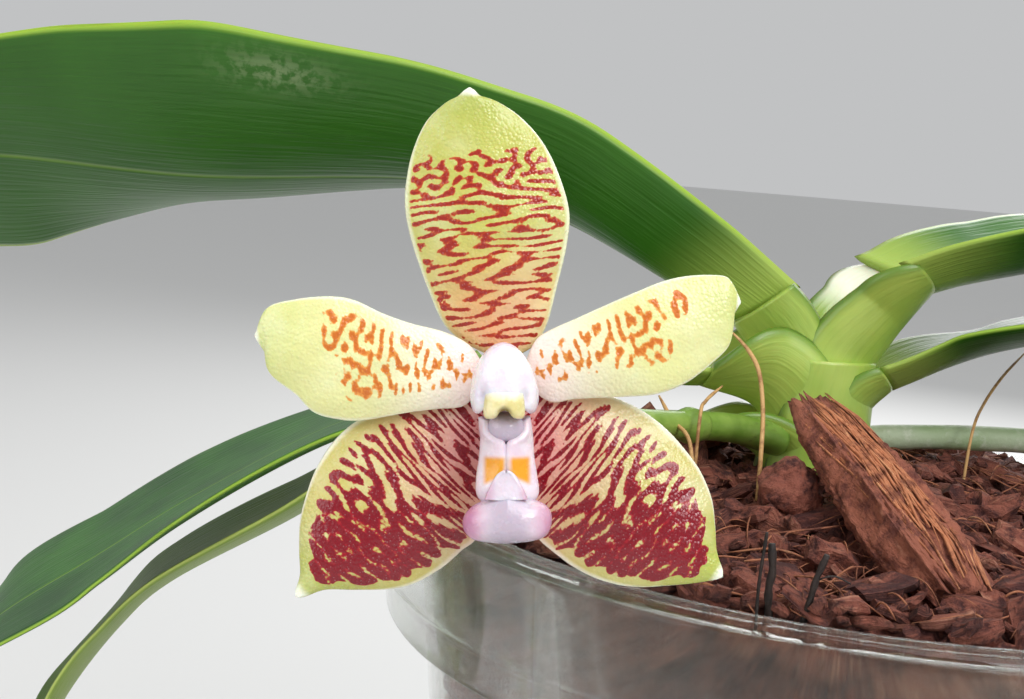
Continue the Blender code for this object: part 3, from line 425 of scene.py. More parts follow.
sorts = [bark_chips(210, (3.0, 1.9, 1.1), (6.6, 3.9, 2.6), 60, 21, (0.0, 0.8)),
         bark_chips(560, (1.6, 0.9, 0.6), (3.8, 2.1, 1.5), 63.5, 22, (0.0, 1.8)),
         bark_chips(960, (0.6, 0.4, 0.3), (1.9, 1.0, 0.8), 64.6, 23, (0.2, 3.4))]
nodule = lump((-15.4, -25.5, 131.2), (4.4, 4.2, 4.6),
              lambda points: points * (1 + 0.07 * ripples(points, 0.9, 25)
                                       + 0.03 * ripples(points, 0.3, 26))[..., None])
nodule_run = ring_values(np.linspace(0, 14, 40), 48)
sorts.append((nodule, nodule_run, 0 * nodule_run + 3, 0 * nodule_run + 0.75))
bark_skin = joined(core, *[s[0] for s in sorts])
core_run = np.concatenate([spots[:, 1], flat[:, 0], [0, 0]])
core_turn = np.concatenate([spots[:, 0], flat[:, 1], [0, 0]])


def shared_group(name, inputs, outputs):
    """A node group for several materials, with inputs and outputs of the given names and kinds."""
    made = bpy.data.node_groups.new(name, "ShaderNodeTree")
    for way, sockets in (("INPUT", inputs), ("OUTPUT", outputs)):
        for socket, kind in sockets:
            made.interface.new_socket(name=socket, in_out=way, socket_type="NodeSocket" + kind)
    return made, made.nodes.new("NodeGroupInput").outputs, made.nodes.new("NodeGroupOutput").inputs


def set_in(tree, group):
    """A shared node group set into one material."""
    made = tree.nodes.new("ShaderNodeGroup")
    made.node_tree = group
    return made


def reading(tree, name):
    """A value that the piece carries at each of its points."""
    return put(tree, "Attribute", {"attribute_name": name}).outputs["Fac"]


fibre_grain, given, taken = shared_group(
    "fibre_grain", [("Along", "Float"), ("Around", "Float"), ("Tone", "Float"), ("Dark", "Color"),
                    ("Middle", "Color"), ("Pale", "Color")], [("Colour", "Color"), ("Height", "Float")])
strand = put(fibre_grain, "CombineXYZ", X=reckon(fibre_grain, "MULTIPLY", given["Along"], 0.22),
             Y=reckon(fibre_grain, "MULTIPLY", given["Around"], 1.7),
             Z=reckon(fibre_grain, "MULTIPLY", given["Tone"], 40.0)).outputs[0]
streak = grain(fibre_grain, strand, 1.0, 4, 0.65)
blotch = grain(fibre_grain, place(fibre_grain), 420, 6, 0.72)
worn = reckon(fibre_grain, "MULTIPLY_ADD", streak, 0.9, -0.12)
worn = reckon(fibre_grain, "MULTIPLY_ADD", given["Tone"], 0.35, worn)
shade = tinted(fibre_grain, stepped(fibre_grain, worn, 0.25, 0.55), given["Dark"], given["Middle"])
shade = tinted(fibre_grain, stepped(fibre_grain, worn, 0.6, 0.88), shade, given["Pale"])
shade = tinted(fibre_grain, stepped(fibre_grain, blotch, 0.55, 0.35), shade, given["Dark"])
feed(fibre_grain, taken["Colour"], shade)
pitted = reckon(fibre_grain, "MULTIPLY", blotch, 0.7)
feed(fibre_grain, taken["Height"], reckon(fibre_grain, "MULTIPLY_ADD", streak, 0.5, pitted))


def fibrous(name, dark, middle, pale, rough, raise_by):
    """Torn plant fibre: dark and pale strands run the way the piece was torn."""
    made, tree, shader = surface_finish(name, rough)
    group = set_in(tree, fibre_grain)
    for socket, value in (("Along", "run"), ("Around", "turn"), ("Tone", "tone")):
        feed(tree, group.inputs[socket], reading(tree, value))
    for socket, value in (("Dark", dark), ("Middle", middle), ("Pale", pale)):
        group.inputs[socket].default_value = value
    feed(tree, shader.inputs["Base Color"], group.outputs["Colour"])
    feed(tree, shader.inputs["Roughness"],
         reckon(tree, "MULTIPLY_ADD", group.outputs["Height"], -0.25, rough + 0.12))
    bumped(tree, shader, group.outputs["Height"], raise_by)
    return made


bark_brown = fibrous("bark_brown", tint(66, 30, 28), tint(138, 78, 62), tint(190, 134, 108), 0.9, 0.0016)
make_piece("bark_shredded", bark_skin, bark_brown, "bark_mix", "bark", smooth=False,
           run=np.concatenate([core_run] + [s[1] for s in sorts]),
           turn=np.concatenate([core_turn] + [s[2] for s in sorts]),
           tone=np.concatenate([core_tone] + [s[3] for s in sorts]))


def fibre_paths(start, heading, long, sag, curl, rows=8):
    """Thin fibres: start + heading * s + sideways curl * s^2, lifted by a low arch 4 * sag * s * (1 - s)."""
    s = np.linspace(0, 1, rows)[:, None]
    side = np.cross(heading, (0.0, 0.0, 1.0))[:, None]
    path = start[:, None] + (heading * long)[:, None] * s + side * (curl * long)[:, None] * s ** 2
    path[..., 2] += (4 * sag * s[:, 0] * (1 - s[:, 0]))
    return path


random = np.random.default_rng(31)
out = 62 * np.sqrt(random.uniform(0, 1, FIBRES))
spin = random.uniform(0, 2 * math.pi, FIBRES)
start = np.stack([out * np.cos(spin), out * np.sin(spin), np.zeros(FIBRES)], 1)
way = random.uniform(0, 2 * math.pi, FIBRES)
heading = np.stack([np.cos(way), np.sin(way), np.zeros(FIBRES)], 1)
long = 3 + 11 * random.uniform(0, 1, (FIBRES, 1)) ** 2
sag = random.uniform(-0.2, 1.6, (FIBRES, 1))
paths = fibre_paths(start, heading, long, sag, random.uniform(-0.5, 0.5, (FIBRES, 1)))
paths[..., :2] /= np.maximum(np.hypot(paths[..., 0], paths[..., 1]) / FIBRE_REACH, 1)[..., None]
paths[..., 2] += bark_top(paths[..., 0], paths[..., 1]) + random.uniform(0.2, 2.3, (FIBRES, 1))
paths = paths[np.hypot(paths[:, 4, 0] + 7, paths[:, 4, 1] - 4) > 13]
thin = random.uniform(0.06, 0.19, (len(paths), 1)) * np.array([0.6, 1, 1, 1, 1, 0.9, 0.7, 0.3])
loose_fibre = fibrous("loose_fibre", tint(92, 48, 34), tint(158, 98, 68), tint(198, 150, 110), 0.8, 0.0002)
make_piece("bark_fibres", tubes(round_rings(paths, thin, 3)), loose_fibre, None, "bark",
           run=ring_values(np.broadcast_to(np.arange(8) * 2.0, thin.shape), 3), turn=0.0,
           tone=np.repeat(random.uniform(0.2, 1, len(paths)), 26))

STANDING = [
    ([(-22.7, -9.0, 150.8), (-20.4, -10.3, 148.6), (-18.9, -12.7, 145.8), (-18.4, -16.3, 140.8),
      (-18.7, -20.0, 135.4), (-18.7, -21.0, 128.6)], 0.34),
    ([(-33.2, -14.2, 141.3), (-31.7, -20.6, 139.0), (-29.6, -25.9, 136.8), (-28.6, -28.6, 127.4)], 0.3),
    ([(-23.9, -12.0, 143.2), (-26.8, -17.2, 141.6), (-28.0, -21.5, 139.8), (-28.2, -23.5, 127.6)], 0.26),
    ([(30.0, 17.0, 149.1), (24.5, 10.5, 145.5), (20.1, 4.9, 141.5), (16.7, -1.6, 137.9),
      (15.4, -4.0, 128.6)], 0.24),
]
drawn_out = np.interp(np.linspace(0, 1, 30), [0, 0.15, 1], [0.5, 1, 1])
stood = [tubes(round_rings(through(path, 30), drawn_out * fat, 8, (1.0, 0.2, 0.1))) for path, fat in STANDING]
husk_strand = fibrous("husk_strand", tint(120, 66, 44), tint(184, 116, 78), tint(216, 160, 116), 0.7, 0.0002)
straw = fibrous("straw", tint(150, 104, 62), tint(196, 154, 98), tint(222, 186, 132), 0.6, 0.0001)
make_piece("standing_fibres", joined(*stood), straw, None, "bark", turn=0.0, tone=0.8,
           run=np.concatenate([ring_values(np.arange(30) * 0.8, 8) for _ in stood]))
TWIGS = [
    ([(-22.5, -58, 121), (-23.6, -60.5, 127), (-23.5, -61, 129.4), (-23.9, -61, 132.6)], 0.46),
    ([(-19.4, -59, 121), (-19.1, -61.5, 126), (-18.7, -62.1, 129.2), (-17.9, -62.5, 132.2)], 0.4),
    ([(-24.6, -60.4, 122), (-24.9, -61.2, 128), (-24.7, -61.6, 134.0)], 0.2),
    ([(-18.9, -61.2, 128.4), (-18.0, -62.6, 129.6), (-16.6, -62.5, 129.8), (-14.8, -62.1, 129.0)], 0.11),
]
knobbly = 1 + 0.12 * np.sin(np.arange(24) * 1.3)
twigs = [tubes(round_rings(through(path, 24), fat * knobbly, 8, (1.0, 0, 0))) for path, fat in TWIGS]
twig_black = fibrous("twig_black", tint(24, 16, 14), tint(44, 30, 24), tint(78, 56, 42), 0.7, 0.0003)
make_piece("twigs", joined(*twigs), twig_black, None, "bark", turn=0.0, tone=0.4,
           run=np.concatenate([ring_values(np.arange(24) * 0.5, 8) for _ in twigs]))


# Husk chunk. One large torn slab of husk, thicker at its foot, that leans back on the mix. Its
# fibres all run lengthwise; long tan ones have come loose along it and at both ends.

CHUNK_LINE = [(1.6, -50.0, 124.8), (-2.2, -40, 129.2), (-7.2, -27, 136.0), (-11.4, -15.5, 142.0)]
CHUNK_GIRTH = 36
CHUNK_LENGTH = 40
BEYOND_END = 44
LOOSE_STRANDS = 190

rows, sides = 110, 96
line = through(CHUNK_LINE, rows)
share = np.linspace(0, 1, rows)
wide = np.interp(share, [0, 0.15, 0.5, 0.85, 1], [4.4, 6.2, 5.8, 5.2, 3.6])
high = np.interp(share, [0, 0.15, 0.5, 0.85, 1], [2.8, 4.4, 4.8, 3.4, 1.8])
along = unit(np.gradient(line, axis=0))
side = unit(np.cross(along, (0, 0, 1.0)))
over = np.cross(side, along)
corner = softened([(1.0, 0.1), (0.62, 0.95), (-0.05, 0.8), (-0.7, 1.0), (-1.0, -0.15), (-0.45, -1.0),
                   (0.5, -0.85), (1.0, 0.1)], 0.16, 2)
evenly = np.linspace(0, 1, sides, endpoint=False)
corner = np.stack([np.interp(evenly, np.linspace(0, 1, len(corner)), corner[:, k]) for k in (0, 1)], 1)
turns = np.arange(sides) / sides * CHUNK_GIRTH
round_turn = turns / CHUNK_GIRTH * 6.283
strands = 5 * np.stack(np.broadcast_arrays(share[:, None], np.cos(round_turn), np.sin(round_turn)), -1)
torn = 1 + 0.04 * ripples(strands, 1.3, 41) + 0.12 * ripples(strands, 4.5, 42)
torn += 0.035 * ripples(strands * (4, 1, 1), 0.9, 43) + 0.02 * ripples(strands * (6, 1, 1), 0.45, 44)
torn = np.clip(torn, 0.66, 1.16)
chunk = (line[:, None] + side[:, None] * (corner[:, 0] * wide[:, None] * torn)[..., None]
         + over[:, None] * (corner[:, 1] * high[:, None] * torn)[..., None])
ragged = 0.9 * ripples(strands[0], 1.6, 44)
chunk += along[:, None] * ((np.abs(2 * share - 1) ** 8)[:, None] * ragged)[..., None]
skin = tubes(chunk)
husk_brown = fibrous("husk_brown", tint(104, 54, 44), tint(160, 94, 72), tint(196, 138, 110), 0.86, 0.0012)
make_piece("husk_slab", (skin[0], outward(*skin)), husk_brown, "husk_chunk", "bark",
           run=ring_values(share * CHUNK_LENGTH, sides), turn=np.concatenate([np.tile(turns, rows), [0, 0]]),
           tone=0.6)

random = np.random.default_rng(47)
first = random.uniform(-0.04, 0.6, LOOSE_STRANDS)
last = np.minimum(first + random.uniform(0.25, 0.65, LOOSE_STRANDS), random.uniform(0.9, 1.03, LOOSE_STRANDS))
s = first[:, None] + (last - first)[:, None] * np.linspace(0, 1, 12)
spin = (0.1 + 2.2 * random.uniform(0, 1, LOOSE_STRANDS) ** 1.4)[:, None]
spin = spin + random.uniform(-0.6, 0.6, (LOOSE_STRANDS, 1)) * np.linspace(0, 1, 12)
at = np.stack([np.interp(s, share, line[:, k]) for k in range(3)], -1)
at += (np.maximum(s - 1, 0) + np.minimum(s, 0))[..., None] * BEYOND_END * along[-1]
off = 1.0 + 0.06 * random.uniform(0, 1, (LOOSE_STRANDS, 1))
off = off + 0.5 * np.maximum(s - 0.9, 0) + 0.8 * np.maximum(0.05 - s, 0)
at += side.mean(0) * (np.cos(spin) * np.interp(s, share, wide) * off)[..., None]
at += over.mean(0) * (np.sin(spin) * np.interp(s, share, high) * off)[..., None]
thin = random.uniform(0.07, 0.25, (LOOSE_STRANDS, 1)) * np.interp(np.linspace(0, 1, 12), [0, 0.1, 0.8, 1],
                                                                  [0.5, 1, 0.9, 0.3])
make_piece("husk_strands", tubes(round_rings(at, thin, 4, (1.0, 0.3, 0.2))), husk_strand, None, "bark",
           run=ring_values(s * CHUNK_LENGTH, 4), turn=0.0,
           tone=np.repeat(random.uniform(0.2, 1, LOOSE_STRANDS), 50))


# Stem. A short upright stem, wholly wrapped in the fleshy bases of the leaves, each of which
# clasps the one above it and opens toward its own side.

STEM_RADIUS = 5.6
STEM_LINE = [(-6.4, 3.6, 118.0), (-6.8, 3.8, 130.0), (-7.7, 5.0, 141.0), (-7.6, 5.8, 149.0)]
SHEATHS = [
    ([(-13.6, 5.0, 141.5), (-14.6, 5.3, 144.7), (-16.6, 5.7, 147.6), (-20.0, 6.1, 151.4)],
     [5.8, 6.6, 7.6, 8.5], [2.3, 2.1, 1.9, 1.7], 1.0),
    ([(-0.6, 4.8, 138.0), (0.5, 5.3, 144.4), (3.7, 6.1, 150.5), (9.0, 7.0, 158.4)],
     [6.6, 7.6, 9.5, 16.5], [2.3, 2.2, 1.7, 0.95], 1.0),
    ([(-12.0, 3.6, 126.0), (-12.9, 4.0, 133.5), (-16.0, 4.6, 139.1), (-24.8, 4.9, 141.5)],
     [6.0, 6.9, 8.6, 13.5], [2.4, 2.4, 2.0, 0.7], 1.0),
    ([(-1.2, 3.6, 126.0), (-0.9, 4.1, 134.0), (1.0, 4.7, 139.2), (4.2, 5.1, 142.8)],
     [7.0, 7.4, 7.8, 10.0], [1.9, 1.8, 1.5, 1.05], 1.0),
    ([(-12.4, 3.4, 124.0), (-13.4, 3.2, 129.6), (-17.2, 3.0, 132.8), (-23.5, 2.9, 133.9)],
     [7.2, 7.4, 8.5, 12.0], [1.8, 1.6, 1.2, 0.6], 1.0),
    ([(0.8, 3.7, 124.6), (1.1, 3.9, 132.0), (1.3, 4.3, 140.0), (1.2, 4.8, 146.6)],
     [8.2, 8.1, 8.3, 8.4], [2.7, 2.6, 2.4, 2.1], 0.0),
]
DRY_SHEATH = 1
SHEATH_THICKNESS = 1.8


def both_faces(values):
    """Values of a blade's front, row by row, carried on over its back."""
    return np.concatenate([values, values[:, -2:0:-1]], 1).ravel()


def blade(grid, thick, run, cross):
    """Closed blade over a grid of middle points, with a rounded rim.

    Each row is a loop that goes over the front face and back under it. Half the thickness is
    laid to either side of the grid along its normal, times the root of 1 - v^16 at v across.
    """
    rows, cols = grid.shape[:2]
    normal = unit(np.cross(np.gradient(grid, axis=0), np.gradient(grid, axis=1)))
    v = np.linspace(-1, 1, cols)
    half = normal * (np.broadcast_to(thick, (rows, cols)) / 2 * np.sqrt(1 - np.abs(v) ** 16))[..., None]
    loop = np.concatenate([grid + half, (grid - half)[:, -2:0:-1]], 1)
    around = 2 * cols - 2
    faces = [grid_faces(rows, around, True)]
    a = np.arange(cols - 1)
    b = (around - a) % around
    strip = np.stack([a, b, (around - a - 1) % around, a + 1], 1)
    faces += [strip, (strip + (rows - 1) * around)[:, ::-1]]
    faces = [f.astype(int) for f in faces]
    points = loop.reshape(-1, 3)
    front = np.concatenate([np.ones((rows, cols)), np.zeros((rows, cols - 2))], 1).ravel()
    values = {"run": both_faces(run), "cross": both_faces(cross), "front": front}
    return (points, outward(points, faces)), values


def rise(value, low, high):
    """0 below low, 1 above high and a smooth curve between."""
    t = np.clip((value - low) / (high - low), 0, 1)
    return t * t * (3 - 2 * t)


def sheath(spec, rows=44, across=41):
    """Clasping leaf base from its keel, its radii and its half fold angles.

    Each cross-section is an arc: a point at angle a stands at radius * (1 - cos a) along
    the facing direction and radius * sin a to the side, up to the fold angle either way. A
    flare of 1 turns the open side up toward the end; a flare of 0 keeps an upright ring.
    """
    path, radii, folds, flare = spec
    line = through(path, rows)
    share = np.linspace(0, 1, rows)
    along = unit(np.gradient(line, axis=0))
    toward = -math.copysign(1.0, path[-1][0] - path[0][0])
    facing = np.stack([toward * (1 - flare * share) ** 1.5, 0.1 * flare * share, flare * (0.3 + share)], 1)
    facing = unit(facing - along * (facing * along).sum(1, keepdims=True))
    side = np.cross(along, facing)
    stations = np.linspace(0, 1, len(radii))
    radius = np.interp(share, stations, radii)[:, None]
    angle = np.interp(share, stations, folds)[:, None] * np.linspace(-1, 1, across)
    grid = (line[:, None] + facing[:, None] * (radius * (1 - np.cos(angle)))[..., None]
            + side[:, None] * (radius * np.sin(angle))[..., None])
    run = np.broadcast_to(share[:, None], grid.shape[:2])
    cross = np.broadcast_to(np.linspace(-1, 1, across), grid.shape[:2])
    return blade(grid, SHEATH_THICKNESS, run, cross)


bases = [sheath(spec) for spec in SHEATHS]
trunk_rows, trunk_sides = 40, 40
swell = np.interp(np.linspace(0, 1, trunk_rows), [0, 0.14, 0.3, 0.7, 0.86, 1], [0.8, 0.95, 1, 1, 0.8, 0.5])
trunk = tubes(round_rings(through(STEM_LINE, trunk_rows), swell * STEM_RADIUS, trunk_sides, (1.0, 0, 0), 0.9))
trunk_run = ring_values(np.linspace(0, 1, trunk_rows), trunk_sides)
stem_values = {key: np.concatenate([b[1][key] for b in bases] + [end * trunk_run])
               for key, end in (("run", 1), ("cross", 0), ("front", 0))}
dried = bases[DRY_SHEATH][1]
dry = rise(dried["run"], 0.5, 0.75) * (1 - dried["front"]) * rise(np.abs(dried["cross"]), 0.3, 0.75)
stem_values["dry"] = np.concatenate([dry if k == DRY_SHEATH else 0 * b[1]["run"] for k, b in enumerate(bases)]
                                    + [0 * trunk_run])

vein_lines, given, taken = shared_group(
    "vein_lines", [("Run", "Float"), ("Cross", "Float"), ("Count", "Float")],
    [("Vein", "Float"), ("Cloud", "Float")])
lay = put(vein_lines, "CombineXYZ", X=reckon(vein_lines, "MULTIPLY", given["Cross"], given["Count"]),
          Y=reckon(vein_lines, "MULTIPLY", given["Run"], 2.5)).outputs[0]
feed(vein_lines, taken["Vein"], grain(vein_lines, lay, 1.0, 2, 0.5))
feed(vein_lines, taken["Cloud"], grain(vein_lines, place(vein_lines), 60, 3))


def veined(tree, count):
    """The lengthwise veins and the slow clouding of a green blade."""
    group = set_in(tree, vein_lines)
    feed(tree, group.inputs["Run"], reading(tree, "run"))
    feed(tree, group.inputs["Cross"], reading(tree, "cross"))
    group.inputs["Count"].default_value = count
    return group.outputs["Vein"], group.outputs["Cloud"]


sheath_green, tree, shader = surface_finish("sheath_green", 0.36, Coat_Weight=0.15, Coat_Roughness=0.2,
                                            Subsurface_Weight=0.12, Subsurface_Scale=0.003)
vein, cloud = veined(tree, 22.0)
colour = tinted(tree, stepped(tree, cloud, 0.35, 0.7), tint(176, 196, 92), tint(148, 178, 72))
colour = washed(tree, colour, stepped(tree, vein, 0.45, 0.8), 0.22, tint(120, 152, 56))
rim_share = stepped(tree, reckon(tree, "ABSOLUTE", reading(tree, "cross")), 0.86, 0.985)
colour = tinted(tree, rim_share, colour, tint(96, 130, 40))
colour = washed(tree, colour, stepped(tree, reading(tree, "run"), 0.3, 0.0), 0.5, tint(206, 214, 140))
colour = washed(tree, colour, reading(tree, "dry"), stepped(tree, cloud, 0.3, 0.55), tint(226, 226, 206))
feed(tree, shader.inputs["Base Color"], colour)
feed(tree, shader.inputs["Roughness"], reckon(tree, "MULTIPLY_ADD", vein, 0.12, 0.32))
bumped(tree, shader, vein, 0.00012)
make_piece("stem_sheaths", joined(*[b[0] for b in bases], trunk), sheath_green, "stem", "sheath_green",
           **stem_values)


# Leaves. Thick strap leaves with a channelled upper face and a blunt tip, each set on its own
# sheath along the line where an old leaf would drop. Fine veins run their whole length.


def spread(pairs, share):
    """Values at the given shares of a length, from (share, value) pairs, eased at the pairs."""
    knots = np.asarray(pairs, float)
    plain = np.interp(np.linspace(0, 1, 241), knots[:, 0], knots[:, 1])
    kernel = np.hanning(19) / np.hanning(19).sum()
    padded = np.concatenate([2 * plain[0] - plain[9:0:-1], plain, 2 * plain[-1] - plain[-2:-11:-1]])
    return np.interp(share, np.linspace(0, 1, 241), np.convolve(padded, kernel, "valid"))


def leaf(name, node, slot, keel, near, far, near_lift, far_lift, slant, wave, material, rows=120, across=33,
         glare_patch=(9.0, 0.0, 1.0, 1.0)):
    """Strap leaf hung on its keel.

    The near and far margins stand off the keel by their half widths, lifted from the level
    by their own angles. A point at v across, from -1 at the far margin to 1 at the near one, is
    keel + v * (near - far) / 2 + v^2 * ((near + far) / 2), plus a slow sine wave that grows
    toward both margins. Slant carries both margins along the keel. The last argument gives the
    place along and across, and the reach each way, of a greyish patch painted as a reflection.
    """
    line = through(keel, rows)
    share = np.linspace(0, 1, rows)
    along = unit(np.gradient(line, axis=0))
    level = unit(np.cross(along, (0, 0, 1.0)))
    level = level * np.where(level[:, 1:2] > 0, -1, 1)
    above = np.cross(along, level)
    above = above * np.where((above[:, 2:3] < 0) & (np.abs(above[:, 2:3]) > 0.02), -1, 1)
    lift, drop = np.radians(spread(near_lift, share)), np.radians(spread(far_lift, share))
    to_near = spread(near, share)[:, None] * (level * np.cos(lift)[:, None] + above * np.sin(lift)[:, None])
    to_far = spread(far, share)[:, None] * (-level * np.cos(drop)[:, None] + above * np.sin(drop)[:, None])
    carried = along * spread(slant, share)[:, None]
    to_near, to_far = to_near + carried, to_far + carried
    v = np.linspace(-1, 1, across)
    v = (v * 0.7 + 0.3 * np.sin(v * math.pi / 2))[None, :, None]
    grid = (line[:, None] + v * (to_near - to_far)[:, None] / 2
            + v ** 2 * (to_near + to_far)[:, None] / 2)
    ripple = wave * np.sin(14 * share + 0.6) * np.sin(math.pi * share) ** 0.7
    grid = grid + above[:, None] * (v ** 2 * np.where(v < 0, 1.0, 0.35)) * ripple[:, None, None]
    thick = np.maximum((2.0 - 0.9 * share)[:, None] * (1 - 0.42 * v[..., 0] ** 2), 0.7)
    run = np.broadcast_to(share[:, None] * 4, grid.shape[:2])
    skin, values = blade(grid, thick, run, np.broadcast_to(v[..., 0], grid.shape[:2]))
    values["glare_patch"] = np.exp(-((values["run"] - glare_patch[0]) / glare_patch[2]) ** 2
                            - ((values["cross"] - glare_patch[1]) / glare_patch[3]) ** 2)
    return make_piece(name, skin, material, node, slot, **values)


def leaf_finish(name, deep, fresh, under, edge, rough):
    """Leaf skin: veined green above, paler beneath, with a thin pale margin that is painted rim light."""
    made, tree, shader = surface_finish(name, rough, Coat_Weight=0.04, Coat_Roughness=0.3,
                                        Specular_IOR_Level=0.35,
                                        Subsurface_Weight=0.06, Subsurface_Scale=0.002)
    vein, cloud = veined(tree, 34.0)
    above = tinted(tree, stepped(tree, cloud, 0.3, 0.75), deep, fresh)
    above = washed(tree, above, stepped(tree, vein, 0.48, 0.75), 0.22, fresh)
    colour = washed(tree, above, stepped(tree, reading(tree, "front"), 0.6, 0.4), 0.75, under)
    across = reckon(tree, "ABSOLUTE", reading(tree, "cross"))
    # Painted rim light: a thin pale band of the edge colour along both margins.
    colour = tinted(tree, stepped(tree, across, 0.955, 0.995), colour, edge)
    colour = tinted(tree, stepped(tree, reading(tree, "run"), 0.42, 0.0), colour, tint(160, 184, 84))
    rib = stepped(tree, across, 0.03, 0.0)
    colour = washed(tree, colour, rib, 0.35, edge)
    # Painted reflection: a greyish speckled patch where the glare off the glossy leaf is painted into its
    # colour.
    painted_glare = stepped(tree, grain(tree, place(tree), 700, 4), 0.42, 0.6)
    painted_glare = reckon(tree, "MULTIPLY", reading(tree, "glare_patch"), painted_glare)
    colour = washed(tree, colour, painted_glare, 0.6, tint(138, 156, 112))
    feed(tree, shader.inputs["Base Color"], colour)
    feed(tree, shader.inputs["Roughness"], reckon(tree, "MULTIPLY_ADD", vein, 0.14, rough - 0.07))
    bumped(tree, shader, reckon(tree, "MULTIPLY_ADD", rib, -0.6, vein), 0.0002)
    return made


leaf_green = leaf_finish("leaf_green", tint(20, 72, 8), tint(48, 108, 16), tint(50, 100, 22),
                         tint(150, 186, 62), 0.40)
# The lower leaf's own colour is yellow-green. Its tints are raised further as painted light, to lift it out
# of the shade it sits in under the leaf above.
leaf_lime = leaf_finish("leaf_lime", tint(112, 150, 38), tint(144, 174, 58), tint(138, 164, 70),
                        tint(190, 206, 110), 0.42)

leaf("blade_left_upper", "leaf_left_upper", "leaf_green",
     [(-20.6, 6.1, 151.9), (-32, 7, 157.8), (-47, 8, 165), (-59, 8, 169), (-75, 8.5, 170),
      (-107, 8, 167.5), (-138, 8, 168), (-154, 8, 166), (-173, 8, 157), (-190, 8, 142)],
     [(0, 11), (0.1, 15.6), (0.2, 19.6), (0.3, 23.6), (0.48, 28.2), (0.6, 25.7), (0.7, 22.5), (0.85, 18),
      (0.94, 11), (1, 2.5)],
     [(0, 11.5), (0.1, 20), (0.25, 27), (0.8, 26.5), (0.92, 17), (1, 2.5)],
     [(0, 60), (0.1, 51), (0.25, 43), (0.45, 50), (0.6, 48), (0.75, 38), (1, 10)],
     [(0, 46), (0.15, 17), (0.4, -2), (0.5, -10), (0.68, -35), (0.9, -33), (1, -16)],
     [(0, -5.6), (0.1, -4), (0.3, 0)], 1.6, leaf_green, rows=150, glare_patch=(1.65, 0.81, 0.17, 0.085))
leaf("blade_left_middle", "leaf_left_middle", "leaf_green",
     [(-25.6, 4.9, 141.6), (-38, 4, 140.8), (-53, 2, 138), (-67, 1, 134), (-81, -1, 130), (-101, -4, 118),
      (-115, -7, 108), (-129, -11, 98), (-141, -13, 85), (-149, -16, 71)],
     [(0, 7.8), (0.2, 17), (0.5, 21.5), (0.7, 18.5), (0.9, 9), (1, 2.2)],
     [(0, 8.2), (0.2, 18), (0.5, 25), (0.75, 25), (0.9, 17), (1, 2.2)],
     [(0, 20), (0.3, 10), (0.8, 2), (1, 4)],
     [(0, 12), (0.15, 0), (0.6, 3), (1, 6)],
     [(0, -2), (0.2, 0)], 1.0, leaf_green)
leaf("blade_left_lower", "leaf_left_lower", "leaf_lime",
     [(-24.3, 2.9, 134.0), (-40, 2, 132.4), (-59, 0, 131), (-72, 0, 127.4), (-86, -1, 117), (-104, -3, 106),
      (-112, -4, 98), (-121, -5, 84), (-127, -7, 68)],
     [(0, 6.6), (0.3, 14.5), (0.65, 15.5), (0.85, 11), (1, 2.2)],
     [(0, 6.6), (0.3, 15), (0.7, 16), (0.88, 11.5), (1, 2.2)],
     [(0, 20), (0.3, 15), (1, 11)],
     [(0, 14), (0.2, 3), (0.5, 3), (0.9, 10), (1, 7)],
     [(0, -1), (0.2, 0)], 0.9, leaf_lime)
leaf("blade_right_upper", "leaf_right_upper", "leaf_green",
     [(9.7, 7.0, 158.9), (15, 7.2, 160.8), (25, 8, 163.4), (40, 9, 167), (70, 11, 168), (101, 12, 160),
      (125, 11, 146), (144, 11, 130)],
     [(0, 15), (0.15, 22), (0.35, 24.5), (0.6, 21), (0.8, 14), (0.92, 8), (1, 2.2)],
     [(0, 14.5), (0.15, 21), (0.35, 25), (0.6, 22.5), (0.8, 15.5), (0.92, 9), (1, 2.2)],
     [(0, 28), (0.3, 17), (0.6, 10), (1, 6)],
     [(0, 26), (0.2, 15), (0.6, 20), (1, 20)],
     [(0, -7), (0.12, -4), (0.3, 0)], 1.2, leaf_green)
leaf("blade_right_lower", "leaf_right_lower", "leaf_green",
     [(4.9, 5.1, 143.3), (14, 5, 148), (25, 3, 152.3), (43, 2, 156), (66, 1, 155), (89, -1, 147),
      (108, -4, 134), (120, -6, 120)],
     [(0, 9.6), (0.1, 15), (0.3, 20.5), (0.55, 19), (0.8, 12), (0.92, 7), (1, 2.2)],
     [(0, 9.0), (0.1, 15), (0.3, 21), (0.6, 21), (0.8, 15), (0.92, 9), (1, 2.2)],
     [(0, 30), (0.12, 16), (0.5, 10), (1, 6)],
     [(0, 26), (0.12, 4), (0.6, 5), (1, 12)],
     [(0, -2), (0.2, 0)], 1.0, leaf_green)


# Roots. Thick fleshy roots in a silvery spongy skin that turns green where it is damp. One lies
# on the bark at the right and dives into it; the others wind down the inside of the pot.

ROOT_RADIUS = 1.75
SURFACE_ROOT = [(-1.0, 4.2, 134.2), (12, 4.2, 135.6), (27, 4.3, 136.2), (37, 5.2, 134.2),
                (44, 6.6, 128.4), (47.5, 8, 119), (49.5, 9, 106), (50.5, 10, 92)]
CROWN = [(-6.4, 3.6, 117.6), (-6.1, 3.6, 112.0), (-5.6, 3.6, 106.5)]
WALL_ROOTS = [(-150, 70, 34), (-62, 64, 48), (70, 75, 30)]


